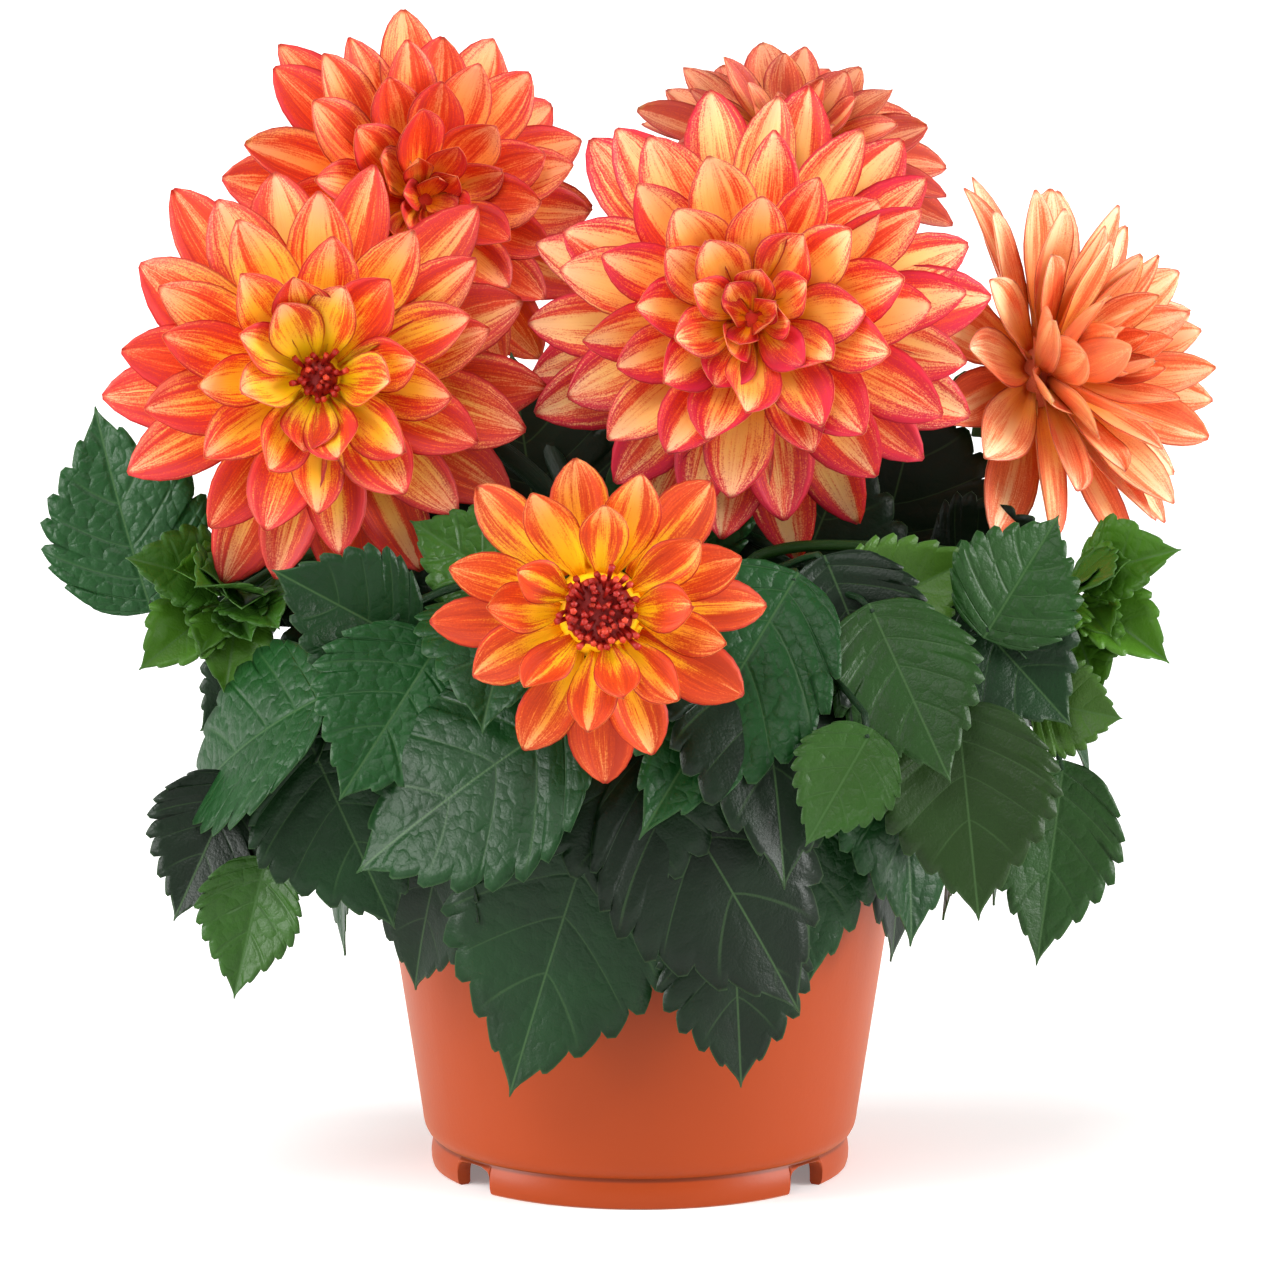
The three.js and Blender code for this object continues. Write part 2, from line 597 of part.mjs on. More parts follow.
// Leaves of each stem. On a layer: azimuth about the pot (the front is 270), arc from the stems
// to the blade's foot, and yaw off the downhill line. Free: foot, tip and the way the face looks.
const LEAVES = {
  upper_left: [
    {
      base: [-116, -2, 134], tip: [-132, 2, 182], face: [-0.3, -1, 0.1],
      width: 44, from: 150, via: [[-60, 6, 147]], curl: -6,
    },
    {
      base: [-41, 30, 142], tip: [-33, 26, 178], face: [0.2, -1, 0],
      width: 38, from: 146,
    },
    {
      base: [-72, 15, 131], tip: [-88, 12, 168], face: [0, -1, 0],
      width: 48, from: 144,
    },
    { layer: 4, azimuth: 142, arc: 46, length: 64, width: 52 },
    { layer: 3, azimuth: 168, arc: 56, length: 66, width: 50 },
    { layer: 3, azimuth: 130, arc: 60, length: 66, width: 50 },
    { layer: 2, azimuth: 149, arc: 60, length: 66, width: 52 },
    { layer: 2, azimuth: 174, arc: 62, length: 62, width: 46 },
    { layer: 1, azimuth: 159, arc: 58, length: 62, width: 48 },
    { layer: 0, azimuth: 146, arc: 58, length: 58, width: 48 },
  ],
  left_front: [
    {
      base: [-52, -50, 133], tip: [-84, -54, 151], face: [0, -1, 0.3],
      width: 34, from: 138, via: [[-36, -28, 137]],
    },
    {
      base: [-29, -31, 143], tip: [-53, -34, 160], face: [0, -1, 0.5],
      width: 30, from: 143,
    },
    { layer: 3, azimuth: 222, arc: 88, yaw: -58, length: 68, width: 48 },
    {
      base: [-93, -40, 101], tip: [-108, -47, 68], face: [-0.2, -1, 0.2],
      width: 32, from: 138, via: [[-62, -26, 132], [-80, -34, 116]],
    },
    {
      base: [-76, -54, 112], tip: [-56, -66, 70], face: [0, -1, 0.2],
      width: 46, from: 136, via: [[-50, -40, 132]],
    },
    {
      base: [-86, -52, 84], tip: [-94, -58, 52], face: [-0.2, -1, 0.1],
      width: 26, from: 134, via: [[-56, -38, 124], [-76, -48, 102]],
    },
    { layer: 2, azimuth: 205, arc: 56, length: 60, width: 46 },
    { layer: 1, azimuth: 193, arc: 62, length: 58, width: 44 },
    { layer: 0, azimuth: 200, arc: 66, length: 54, width: 44 },
  ],
  small_front: [
    {
      base: [-45, -60, 136], tip: [-68, -74, 101], face: [0, -1, 0.3],
      width: 44, from: 138, via: [[-28, -38, 137]],
    },
    { layer: 3, azimuth: 248, arc: 48, length: 44, width: 46 },
    { layer: 2, azimuth: 260, arc: 72, yaw: -52, length: 68, width: 54 },
    { layer: 1, azimuth: 271, arc: 72, yaw: 31, length: 72, width: 56 },
    { layer: 1, azimuth: 243, arc: 50, yaw: -4, length: 48, width: 40 },
    { layer: 0, azimuth: 262, arc: 80, yaw: -18, length: 68, width: 54 },
    { layer: 0, azimuth: 234, arc: 84, yaw: -20, length: 42, width: 34 },
  ],
  centre_right: [
    {
      base: [36, -60, 151], tip: [0, -96, 97], face: [0, -1, 0.4],
      width: 46, from: 143, via: [[24, -36, 147]],
    },
    {
      base: [42, -52, 154], tip: [58, -64, 118], face: [0.2, -1, 0.3],
      width: 34, from: 143, via: [[28, -30, 147]],
    },
    {
      base: [52, -60, 144], tip: [70, -78, 106], face: [0.1, -1, 0.4],
      width: 38, from: 143, via: [[30, -32, 146]],
    },
    {
      base: [52, -84, 119], tip: [37, -92, 94], face: [0, -1, 0.2],
      width: 26, from: 136, via: [[30, -50, 138]],
    },
    {
      base: [44, -42, 136], tip: [80, -36, 153], face: [0, -1, 0.3],
      width: 28, from: 138, via: [[28, -30, 138]],
    },
    {
      base: [72, -62, 122], tip: [77, -76, 74], face: [0.1, -1, 0.2],
      width: 44, from: 140, via: [[48, -40, 138]],
    },
    { layer: 2, azimuth: 318, arc: 52, length: 62, width: 50 },
    { layer: 2, azimuth: 290, arc: 54, length: 60, width: 48 },
    { layer: 1, azimuth: 316, arc: 64, length: 58, width: 48 },
    { layer: 0, azimuth: 286, arc: 96, yaw: 4, length: 46, width: 38 },
    { layer: 0, azimuth: 301, arc: 60, length: 60, width: 46 },
    { layer: 0, azimuth: 324, arc: 66, length: 52, width: 44 },
  ],
  right: [
    {
      base: [79, -46, 134], tip: [97, -40, 162], face: [0.1, -1, 0.2],
      width: 34, from: 152, via: [[50, -20, 144]],
    },
    {
      base: [73, -38, 142], tip: [100, -46, 114], face: [0.2, -1, 0.3],
      width: 40, from: 152, via: [[50, -20, 144]],
    },
    {
      base: [58, 38, 140], tip: [70, 36, 188], face: [0, -1, 0],
      width: 52, from: 150, via: [[40, 28, 142]],
    },
    {
      base: [72, 10, 138], tip: [100, 2, 154], face: [0, -1, 0.4],
      width: 36, from: 150, via: [[50, 12, 142]],
    },
    {
      base: [99, -30, 103], tip: [93, -40, 56], face: [0.2, -1, 0.1],
      width: 34, from: 152, via: [[60, -18, 138], [88, -25, 120]],
    },
    {
      base: [91, -36, 118], tip: [112, -38, 114], face: [0, -1, 0.1],
      width: 24, from: 152, via: [[60, -22, 136]],
    },
    { layer: 3, azimuth: 347, arc: 58, yaw: 10, length: 64, width: 50 },
    { layer: 2, azimuth: 350, arc: 58, length: 62, width: 48 },
    { layer: 2, azimuth: 20, arc: 60, length: 60, width: 50 },
    { layer: 1, azimuth: 346, arc: 62, length: 58, width: 48 },
    { layer: 1, azimuth: 14, arc: 60, length: 58, width: 48 },
    { layer: 0, azimuth: 358, arc: 64, length: 52, width: 44 },
  ],
  top_right: [
    {
      base: [0, 33, 150], tip: [-8, 33, 206], face: [0, -1, 0],
      width: 48, from: 150,
    },
    { layer: 4, azimuth: 84, arc: 56, length: 62, width: 52 },
    { layer: 3, azimuth: 58, arc: 62, length: 66, width: 52 },
    { layer: 3, azimuth: 94, arc: 60, length: 66, width: 52 },
    { layer: 2, azimuth: 58, arc: 60, length: 64, width: 54 },
    { layer: 2, azimuth: 112, arc: 58, length: 64, width: 54 },
    { layer: 1, azimuth: 50, arc: 58, length: 62, width: 50 },
    { layer: 1, azimuth: 100, arc: 58, length: 62, width: 50 },
    { layer: 0, azimuth: 76, arc: 58, length: 58, width: 48 },
  ],
};

// Young shoots: a thin stem from the soil that ends in a tuft of small leaves
const SHOOTS = [
  {
    name: 'left',
    seat: [-103, -14, 138],
    facing: [-0.9, -0.3, -0.3],
    foot: [-24, -1],
    via: [[-27, -1, 144], [-44, -3, 151], [-78, -9, 149]],
    tips: [[-120, -25, 150], [-102, -36, 146], [-84, -30, 134], [-97, -30, 119], [-117, -28, 124]],
  },
  {
    name: 'right',
    seat: [108, -12, 139],
    facing: [0.9, -0.2, -0.3],
    foot: [24, -12],
    via: [[25, -12.5, 146], [33, -14, 150.5], [60, -14, 151], [84, -12, 148]],
    tips: [[126, -22, 152], [110, -34, 147], [94, -28, 130], [108, -26, 118], [124, -24, 126]],
  },
];
const SHOOT_LEAF_WIDTH = 18;
const SHOOT_TEETH = [0.3, 0.6];

function shootGeometry(shoot, stem) {
  const end = stem.curve.getPoint(1);
  const leaves = shoot.tips.map((tip) => {
    const out = new THREE.Vector3(...tip).sub(end);
    const base = end.clone().addScaledVector(out, 0.2);
    const leaf = { base, tip, start: end, face: [0, -1, 0.6], width: SHOOT_LEAF_WIDTH, teeth: SHOOT_TEETH };
    return freeLeaf(stem, leaf);
  });
  const tube = tubeAlong(stem.curve, SHOOT_RADIUS, 6, 6);
  return toGeometry(joinAll([footGeometry(stem), tube, ...leaves]));
}

// Materials
function finish(colour, roughness, metalness = 0) {
  return new THREE.MeshStandardMaterial({ color: new THREE.Color(colour), roughness, metalness });
}

const potFinish = finish('#d9612f', 0.45);
const soilFinish = finish('#2e2018', 0.95);
const leafFinish = finish('#20382a', 0.55);
const shootFinish = finish('#4f8a2c', 0.5);
const discFinish = finish('#8e1218', 0.6);

function named(name, geometry, material) {
  const mesh = new THREE.Mesh(geometry, material);
  mesh.name = name;
  return mesh;
}

const dahlia = new THREE.Group();
const stems = HEADS.map(makeStem);
const shootStems = SHOOTS.map(makeStem);
const stemFeet = [...stems, ...shootStems].map((stem) => stem.bottom);
dahlia.add(named('pot', potGeometry(), potFinish));
dahlia.add(named('soil', soilGeometry(stemFeet), soilFinish));
SHOOTS.forEach((shoot, index) => {
  dahlia.add(named(`shoot_${shoot.name}`, shootGeometry(shoot, shootStems[index]), shootFinish.clone()));
});

HEADS.forEach((head, index) => {
  const stem = stems[index];
  const leaves = LEAVES[head.name].flatMap((leaf) => leafGeometries(stem, leaf));
  const leafyStem = toGeometry(joinAll([...stemGeometries(stem), ...leaves]));
  dahlia.add(named(`stem_${head.name}`, leafyStem, leafFinish.clone()));
  const flower = new THREE.Group();
  flower.position.copy(stem.top);
  flower.quaternion.copy(facingTurn(stem.way));
  flower.add(named(`head_${head.name}`, headGeometry(head), finish(head.colour, 0.6)));
  if (head.disc) {
    flower.add(named(`disc_${head.name}`, discGeometry(head), discFinish.clone()));
  }
  dahlia.add(flower);
});

export default dahlia;
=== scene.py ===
import math

import bpy
import numpy as np
from bpy.props import FloatProperty, FloatVectorProperty, IntProperty, PointerProperty
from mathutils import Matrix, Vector


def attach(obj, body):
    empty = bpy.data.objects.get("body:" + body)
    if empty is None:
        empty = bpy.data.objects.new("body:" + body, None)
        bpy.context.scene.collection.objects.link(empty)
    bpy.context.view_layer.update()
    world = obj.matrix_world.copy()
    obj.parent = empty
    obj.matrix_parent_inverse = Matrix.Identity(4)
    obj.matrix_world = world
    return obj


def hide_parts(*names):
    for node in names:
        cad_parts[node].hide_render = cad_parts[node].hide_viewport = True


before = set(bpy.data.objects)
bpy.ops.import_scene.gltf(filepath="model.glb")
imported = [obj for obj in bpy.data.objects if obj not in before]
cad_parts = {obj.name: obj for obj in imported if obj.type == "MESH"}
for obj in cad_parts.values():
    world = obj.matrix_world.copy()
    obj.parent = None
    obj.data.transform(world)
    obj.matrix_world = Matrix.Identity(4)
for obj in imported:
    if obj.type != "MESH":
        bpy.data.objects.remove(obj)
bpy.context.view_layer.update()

bl_info = {
    "name": "Potted dahlia",
    "version": (1, 0, 0),
    "blender": (4, 5, 0),
    "location": "3D View > Sidebar > Dahlia",
    "description": "Flower heads, foliage, soil and pot of a potted dahlia, built round its packed model",
    "category": "Add Mesh",
}

# Sizes in this file are millimetres, +Z up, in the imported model's frame. Meshes are made in metres.
MM = 0.001
GOLDEN_ANGLE = math.radians(137.508)

# Pot, soil and stems, as in the model
FOOT_RADIUS = 50.3
FOOT_HEIGHT = 7
NOTCH_ANGLES = (-128, -52, 52, 128)
NOTCH_WIDTH = 12.7
NOTCH_HEIGHT = 6.4
DRAIN_RADIUS = 4
DRAIN_RING_RADIUS = 30
SOIL_TOP = 106
STEM_RADIUS = 2.5
STEM_DEPTH = 28
COLLAR_HEIGHT = 5
CORE_BACK = 6
CALYX_DEPTH = 8
SHOOT_RADIUS = 1.75
STALK_RADIUS = 1.3
STALK_REACHES = (30, 54, 66, 88, 110)
CORE_SHARE = 0.25
CORE_SHOULDER = 0.86
ROOT_DEPTH = 3.2
DISC_SEAT = 4.6
DISC_BRIM = 2.2
DISC_BRIM_HEIGHT = -2.6
SOIL_RADIUS = 63.3
SOIL_CROWN = 2
POT_FLOOR = (7.6, 9.6)
POT_FLOOR_RADIUS = 47.8
# painted shade: the dark line drawn in the groove over the foot ring
SEAM_SHADE_COLOUR = "#5c2412"
CRUMB_REACH = 61
CRUMB_SEED = 77
STEM_PLACES = 81
STEM_RINGS = 60

# Flower heads: seat, facing, radius, openings in degrees, reach of the innermost petal as a share
# of the radius, open disc radius and stem as in the model. Then, for the looks: the start of the
# random draws, the share of the open disc that its florets fill, the number of petals, how much
# the spiral thins towards the centre, the widest and narrowest petal as shares of the radius, how
# far the outermost petals spread as a share of it, and the opening of the innermost in degrees.
HEADS = (
    dict(name="upper_left", seat=(-55, 38, 228), facing=(0.33, -0.93, 0.2), radius=51,
         openings=(100, 14), inner=0.46, disc=0, foot=(-12, 7), via=((-17, 14, 160), (-48, 52, 208)),
         seed=1103, tuft=0, petals=62, thinning=1.25, widths=(0.33, 0.24), spread=1.01, closed=34),
    dict(name="left_front", seat=(-74.5, -24, 192), facing=(0.02, -0.99, 0.12), radius=54,
         openings=(100, 36), inner=0.46, disc=6.4, foot=(-12, -5), via=((-18, -3, 158), (-60, -3, 188)),
         seed=2207, tuft=0.76, petals=50, thinning=1.2, widths=(0.35, 0.25), spread=1.06, closed=46),
    dict(name="centre_right", seat=(26, -18, 205), facing=(-0.01, -0.99, 0.12), radius=56.5,
         openings=(101, 12), inner=0.46, disc=0, foot=(9, -9), via=((12, 0, 162), (22, 2, 196)),
         seed=3301, tuft=0, petals=74, thinning=1.25, widths=(0.32, 0.24), spread=1.05, closed=38),
    dict(name="top_right", seat=(36, 60, 236), facing=(0.12, -0.6, 0.79), radius=43.5,
         openings=(98, 16), inner=0.5, disc=0, foot=(7, 11), via=((11, 24, 165), (30, 62, 212)),
         seed=4409, tuft=0, petals=54, thinning=1.25, widths=(0.33, 0.24), spread=1.02, closed=32),
    dict(name="right", seat=(95, 35, 187), facing=(0.72, -0.58, 0.34), radius=51,
         openings=(88, 20), inner=0.8, disc=0, foot=(14, 1), via=((22, 10, 156), (58, 30, 176)),
         seed=5501, tuft=0, petals=60, thinning=1.1, widths=(0.31, 0.24), spread=1.03, closed=18),
    dict(name="small_front", seat=(-9, -98, 147.5), facing=(0.02, -0.98, 0.14), radius=40,
         openings=(97, 56), inner=0.6, disc=8.2, foot=(-3.5, -13), via=((-5, -22, 142), (-7, -58, 150)),
         seed=6607, tuft=0.98, petals=24, thinning=1.1, widths=(0.36, 0.27), spread=1.02, closed=58),
)

# Leaves lie on nested surfaces turned about the pot's axis, each a curve of (radius, height)
LAYERS = (
    ((14, 114), (42, 119), (66, 120), (74, 104), (75, 75), (74, 35), (73, 15)),
    ((14, 123), (40, 128), (67, 127), (81, 108), (87, 80), (89, 45), (89, 25)),
    ((14, 132), (38, 137), (64, 135), (84, 118), (95, 90), (101, 60), (104, 40)),
    ((14, 141), (38, 146), (64, 144), (89, 130), (106, 104), (116, 72), (121, 46)),
    ((14, 152), (38, 158), (64, 158), (92, 147), (113, 124), (127, 96), (134, 72)),
)

# Leaves on a layer, by stem: layer, azimuth in degrees, arc from the stems to the blade's foot,
# yaw off the downhill line in degrees, length and width
LAYER_LEAVES = {
    "upper_left": ((4, 142, 46, 0, 64, 52), (3, 168, 56, 0, 66, 50), (3, 130, 60, 0, 66, 50),
                   (2, 149, 60, 0, 66, 52), (2, 174, 62, 0, 62, 46), (1, 159, 58, 0, 62, 48),
                   (0, 146, 58, 0, 58, 48)),
    "left_front": ((3, 222, 88, -58, 68, 48), (2, 205, 56, 0, 60, 46), (1, 193, 62, 0, 58, 44),
                   (0, 200, 66, 0, 54, 44), (1, 268, 62, 0, 50, 50)),
    "small_front": ((3, 248, 48, 0, 44, 46), (2, 260, 72, -52, 68, 54), (1, 271, 72, 31, 72, 56),
                    (1, 243, 50, -4, 48, 40), (0, 262, 80, -18, 68, 54), (0, 234, 84, -20, 42, 34)),
    "centre_right": ((2, 318, 52, 0, 62, 50), (2, 290, 54, 0, 60, 48),
                     (1, 316, 64, 0, 58, 48), (0, 286, 96, 4, 46, 38), (0, 301, 60, 0, 60, 46),
                     (0, 324, 66, 0, 52, 44)),
    "right": ((3, 347, 58, 10, 64, 50), (2, 350, 58, 0, 62, 48),
              (2, 20, 60, 0, 60, 50), (1, 346, 62, 0, 58, 48), (1, 14, 60, 0, 58, 48),
              (0, 358, 64, 0, 52, 44)),
    "top_right": ((4, 84, 56, 0, 62, 52), (3, 58, 62, 0, 66, 52), (3, 94, 60, 0, 66, 52),
                  (2, 58, 60, 0, 64, 54), (2, 112, 58, 0, 64, 54), (1, 50, 58, 0, 62, 50),
                  (1, 100, 58, 0, 62, 50), (0, 76, 58, 0, 58, 48)),
}

# Leaves clear of the layers, by stem: foot, tip, the way the face looks, width, the height at
# which the stalk leaves the stem, the places it goes by, and the curl of the tip
FREE_LEAVES = {
    "upper_left": (((-116, -2, 134), (-132, 2, 182), (-0.3, -1, 0.1), 44, 150, ((-60, 6, 147),), -6),
                   ((-41, 30, 142), (-33, 26, 178), (0.2, -1, 0), 38, 146, (), 0),
                   ((-72, 15, 131), (-88, 12, 168), (0, -1, 0), 48, 144, (), 0)),
    "left_front": (((-52, -50, 133), (-84, -54, 151), (0, -1, 0.3), 34, 138, ((-36, -28, 137),), 0),
                   ((-29, -31, 143), (-53, -34, 160), (0, -1, 0.5), 30, 143, (), 0),
                   ((-93, -40, 101), (-108, -47, 68), (-0.2, -1, 0.2), 32, 138,
                    ((-62, -26, 132), (-80, -34, 116)), 0),
                   ((-76, -54, 112), (-56, -66, 70), (0, -1, 0.2), 46, 136, ((-50, -40, 132),), 0),
                   ((-86, -52, 84), (-94, -58, 52), (-0.2, -1, 0.1), 26, 134,
                    ((-56, -38, 124), (-76, -48, 102)), 0)),
    "small_front": (((-45, -60, 136), (-68, -74, 101), (0, -1, 0.3), 44, 138, ((-28, -38, 137),), 0),),
    "centre_right": (((36, -60, 151), (0, -96, 97), (0, -1, 0.4), 46, 143, ((24, -36, 147),), 0),
                     ((42, -52, 154), (58, -64, 118), (0.2, -1, 0.3), 34, 143, ((28, -30, 147),), 0),
                     ((52, -60, 144), (70, -78, 106), (0.1, -1, 0.4), 38, 143, ((30, -32, 146),), 0),
                     ((52, -84, 119), (37, -92, 94), (0, -1, 0.2), 26, 136, ((30, -50, 138),), 0),
                     ((44, -42, 136), (80, -36, 153), (0, -1, 0.3), 28, 138, ((28, -30, 138),), 0),
                     ((72, -62, 122), (77, -76, 74), (0.1, -1, 0.2), 44, 140, ((48, -40, 138),), 0)),
    "right": (((79, -46, 134), (97, -40, 162), (0.1, -1, 0.2), 34, 152, ((50, -20, 144),), 0),
              ((73, -38, 142), (100, -46, 114), (0.2, -1, 0.3), 40, 152, ((50, -20, 144),), 0),
              ((58, 38, 140), (70, 36, 188), (0, -1, 0), 52, 150, ((40, 28, 142),), 0),
              ((72, 10, 138), (100, 2, 154), (0, -1, 0.4), 36, 150, ((50, 12, 142),), 0),
              ((99, -30, 103), (93, -40, 56), (0.2, -1, 0.1), 34, 152, ((60, -18, 138), (88, -25, 120)), 0),
              ((91, -36, 118), (112, -38, 114), (0, -1, 0.1), 24, 152, ((60, -22, 136),), 0)),
    "top_right": (((0, 33, 150), (-8, 33, 206), (0, -1, 0), 48, 150, (), 0),),
}

# Young, paler leaves among the clear ones, by stem: place in the list and how young
YOUNG_LEAVES = {"centre_right": {2: 0.12, 3: 0.25, 4: 0.7, 5: 0.14}, "right": {0: 0.1, 4: 0.12, 5: 0.5},
                "left_front": {1: 0.4, 4: 0.3}}

# Small dark leaves deep in the plant, by stem: foot, tip and width
INNER_LEAVES = {
    "upper_left": (((-24, 16, 146), (-31, 20, 194), 50), ((-60, 6, 128), (-82, 6, 150), 44)),
    "left_front": (((-84, -16, 120), (-104, -18, 108), 34), ((-34, -14, 132), (-44, -18, 160), 40)),
    "small_front": (((-6, -50, 128), (-4, -60, 106), 40),),
    "centre_right": (((34, 4, 132), (52, 6, 176), 52), ((8, 0, 140), (4, 4, 180), 44)),
    "right": (((72, -4, 128), (96, -8, 134), 44),),
    "top_right": (),
}

# Young shoots: a thin stem that ends in a tuft of small leaves, whose tips are given
SHOOTS = (
    dict(name="left", seat=(-103, -14, 138), facing=(-0.9, -0.3, -0.3), foot=(-24, -1), seed=124,
         via=((-27, -1, 144), (-44, -3, 151), (-78, -9, 149)),
         tips=((-120, -25, 150), (-102, -36, 146), (-84, -30, 134), (-97, -30, 119), (-117, -28, 124))),
    dict(name="right", seat=(108, -12, 139), facing=(0.9, -0.2, -0.3), foot=(24, -12), seed=155,
         via=((25, -12.5, 146), (33, -14, 150.5), (60, -14, 151), (84, -12, 148)),
         tips=((126, -22, 152), (110, -34, 147), (94, -28, 130), (108, -26, 118), (124, -24, 126))),
)
SHOOT_LEAF_WIDTH = 21

# Stage: the camera's place in metres, its tilt up from straight down in degrees, its lens and
# sensor in millimetres, half the floor's width in metres, and the floor's two whites. Each light
# is given with the way it stands from the plant, the setting for its strength and its share of it.
CAMERA_PLACE = (0, -1.3, 0.315)
CAMERA_TILT = 81.77
LENS = 154.9
SENSOR = 36.0
FLOOR_HALF = 30.0
CARD_COLOURS = ("#f8f8f7", "#f2f2f1")
LIGHTS = (("window", (-0.3, -0.75, 1.05), "key", 1.0), ("left_side", (-1, -0.2, 0.25), "sides", 0.8),
          ("right_side", (1, -0.15, 0.25), "sides", 1.0))


def linear(colour):
    """An sRGB hex value as linear red, green, blue and alpha: each channel below 0.04045 is
    divided by 12.92, and the others are ((c + 0.055) / 1.055) to the power 2.4."""
    value = np.array([int(colour[i:i + 2], 16) for i in (1, 3, 5)]) / 255
    curved = ((value + 0.055) / 1.055) ** 2.4
    return (*np.where(value <= 0.04045, value / 12.92, curved).tolist(), 1.0)


# Arrays

def unit(vectors):
    """Vectors divided by their lengths."""
    return vectors / np.maximum(np.linalg.norm(vectors, axis=-1, keepdims=True), 1e-9)


def between(start, end, share):
    """The straight mix from start, at share 0, to end, at share 1."""
    return start + (end - start) * share


def smooth(low, high, value):
    """A smooth step: 0 below low, 1 above high, and 3x^2 - 2x^3 between them."""
    x = np.clip((value - low) / (high - low), 0, 1)
    return x * x * (3 - 2 * x)


def spline(points, per, power=0.5, clamped=False):
    """A curve through points, with per places in each stretch: cubic Hermite pieces whose end
    slopes come from the neighbours, spaced by distance to the given power. The curve is carried
    on past its ends by mirrored points, or by the end points themselves if it is clamped."""
    p = np.asarray(points, float)
    first = p[0] if clamped else 2 * p[0] - p[1]
    last = p[-1] if clamped else 2 * p[-1] - p[-2]
    q = np.vstack([first, p, last])
    gap = (np.linalg.norm(np.diff(q, axis=0), axis=1) ** power)[:, None]
    g0, g1, g2 = gap[:-2], gap[1:-1], gap[2:]
    x0, x1, x2, x3 = q[:-3], q[1:-2], q[2:-1], q[3:]
    slope1 = ((x1 - x0) / g0 - (x2 - x0) / (g0 + g1) + (x2 - x1) / g1) * g1
    slope2 = ((x2 - x1) / g1 - (x3 - x1) / (g1 + g2) + (x3 - x2) / g2) * g1
    s = (np.arange(per) / per)[None, :, None]
    curve = ((2 * s**3 - 3 * s**2 + 1) * x1[:, None] + (s**3 - 2 * s**2 + s) * slope1[:, None]
             + (3 * s**2 - 2 * s**3) * x2[:, None] + (s**3 - s**2) * slope2[:, None])
    return np.vstack([curve.reshape(-1, p.shape[1]), p[-1]])


def spaced(path, count):
    """Places at even steps of length along a path."""
    reach = np.concatenate([[0], np.cumsum(np.linalg.norm(np.diff(path, axis=0), axis=1))])
    at = np.linspace(0, reach[-1], count)
    return np.stack([np.interp(at, reach, path[:, k]) for k in range(path.shape[1])], axis=1)


def spun(x, y, turn):
    """The place (x, y) turned about the origin."""
    return x * np.cos(turn) - y * np.sin(turn), x * np.sin(turn) + y * np.cos(turn)


def turn_to(points, facing, seat):
    """Points about +Z turned the shortest way so that +Z looks along facing, then moved to seat:
    p + k x p + k x (k x p) / (1 + c), where k is z x facing and c their dot product."""
    way = unit(np.asarray(facing, float))
    k = np.cross((0, 0, 1), way)
    once = np.cross(k, points)
    return points + once + np.cross(k, once) / (1 + way[2]) + np.asarray(seat, float)


# Meshes: a part is its points, its faces as arrays of corner numbers, and its values by point

def sheets(top, bottom, across, along, **values):
    """Closed thin sheets from their upper and lower faces, arrays of (sheets, rows, columns, 3).
    Each row goes across the upper face and back across the lower one as a ring, quads join the
    rings, and quads between the two faces close the first and the last row. across and along
    are the UV places of the upper face, and each value has one number a sheet or a point."""
    rings = np.concatenate([top, bottom[:, :, ::-1]], axis=2)
    count, rows, around = rings.shape[:3]
    columns = around // 2
    index = np.arange(rings[..., 0].size).reshape(count, rows, around)
    beside = np.roll(index, -1, axis=2)
    sides = np.stack([index[:, :-1], index[:, 1:], beside[:, 1:], beside[:, :-1]], axis=-1)
    j = np.arange(columns - 1)
    corners = np.stack([j, j + 1, around - 2 - j, around - 1 - j], axis=-1)
    root = index[:, 0][:, corners]
    tip = index[:, -1][:, corners[:, ::-1]]
    faces = [quads.reshape(-1, 4) for quads in (sides, root, tip)]

    def on_rings(value):
        value = np.broadcast_to(value, top.shape[:3])
        return np.concatenate([value, value[:, :, ::-1]], axis=2).ravel()

    under = np.broadcast_to(np.arange(around) >= columns, index.shape).ravel().astype(float)
    values = {key: on_rings(value) for key, value in values.items()}
    uv = np.stack([on_rings(across), on_rings(along)], axis=-1)
    return dict(points=rings.reshape(-1, 3), faces=faces, uv=uv, under=under, **values)


def tubes(paths, radii, sides, **values):
    """Closed round tubes along paths, an array of (tubes, rows, 3). A ring of sides points stands
    square to the path in each row, and starts from the axis that the path runs along least."""
    count, rows = paths.shape[:2]
    ahead = unit(np.gradient(paths, axis=1))
    away = np.eye(3)[np.argmin(np.abs(ahead).max(axis=1), axis=1)][:, None]
    side = unit(away - ahead * (away * ahead).sum(-1, keepdims=True))
    other = np.cross(ahead, side)
    turn = np.arange(sides) / sides * 2 * np.pi
    out = (side[:, :, None] * np.cos(turn)[:, None] + other[:, :, None] * np.sin(turn)[:, None])
    rings = paths[:, :, None] + out * np.broadcast_to(radii, (count, rows))[..., None, None]
    index = np.arange(count * rows * sides).reshape(count, rows, sides)
    beside = np.roll(index, -1, axis=2)
    walls = np.stack([index[:, :-1], beside[:, :-1], beside[:, 1:], index[:, 1:]], axis=-1)
    along = np.broadcast_to(np.linspace(0, 1, rows)[None, :, None], index.shape).ravel()
    around = np.broadcast_to(turn / (2 * np.pi), index.shape).ravel()
    given = {key: np.broadcast_to(value, index.shape).ravel() for key, value in values.items()}
    faces = [walls.reshape(-1, 4), index[:, 0, ::-1], index[:, -1]]
    return dict(points=rings.reshape(-1, 3), faces=faces, uv=np.stack([around, along], axis=-1),
                under=np.zeros(index.size), **given)


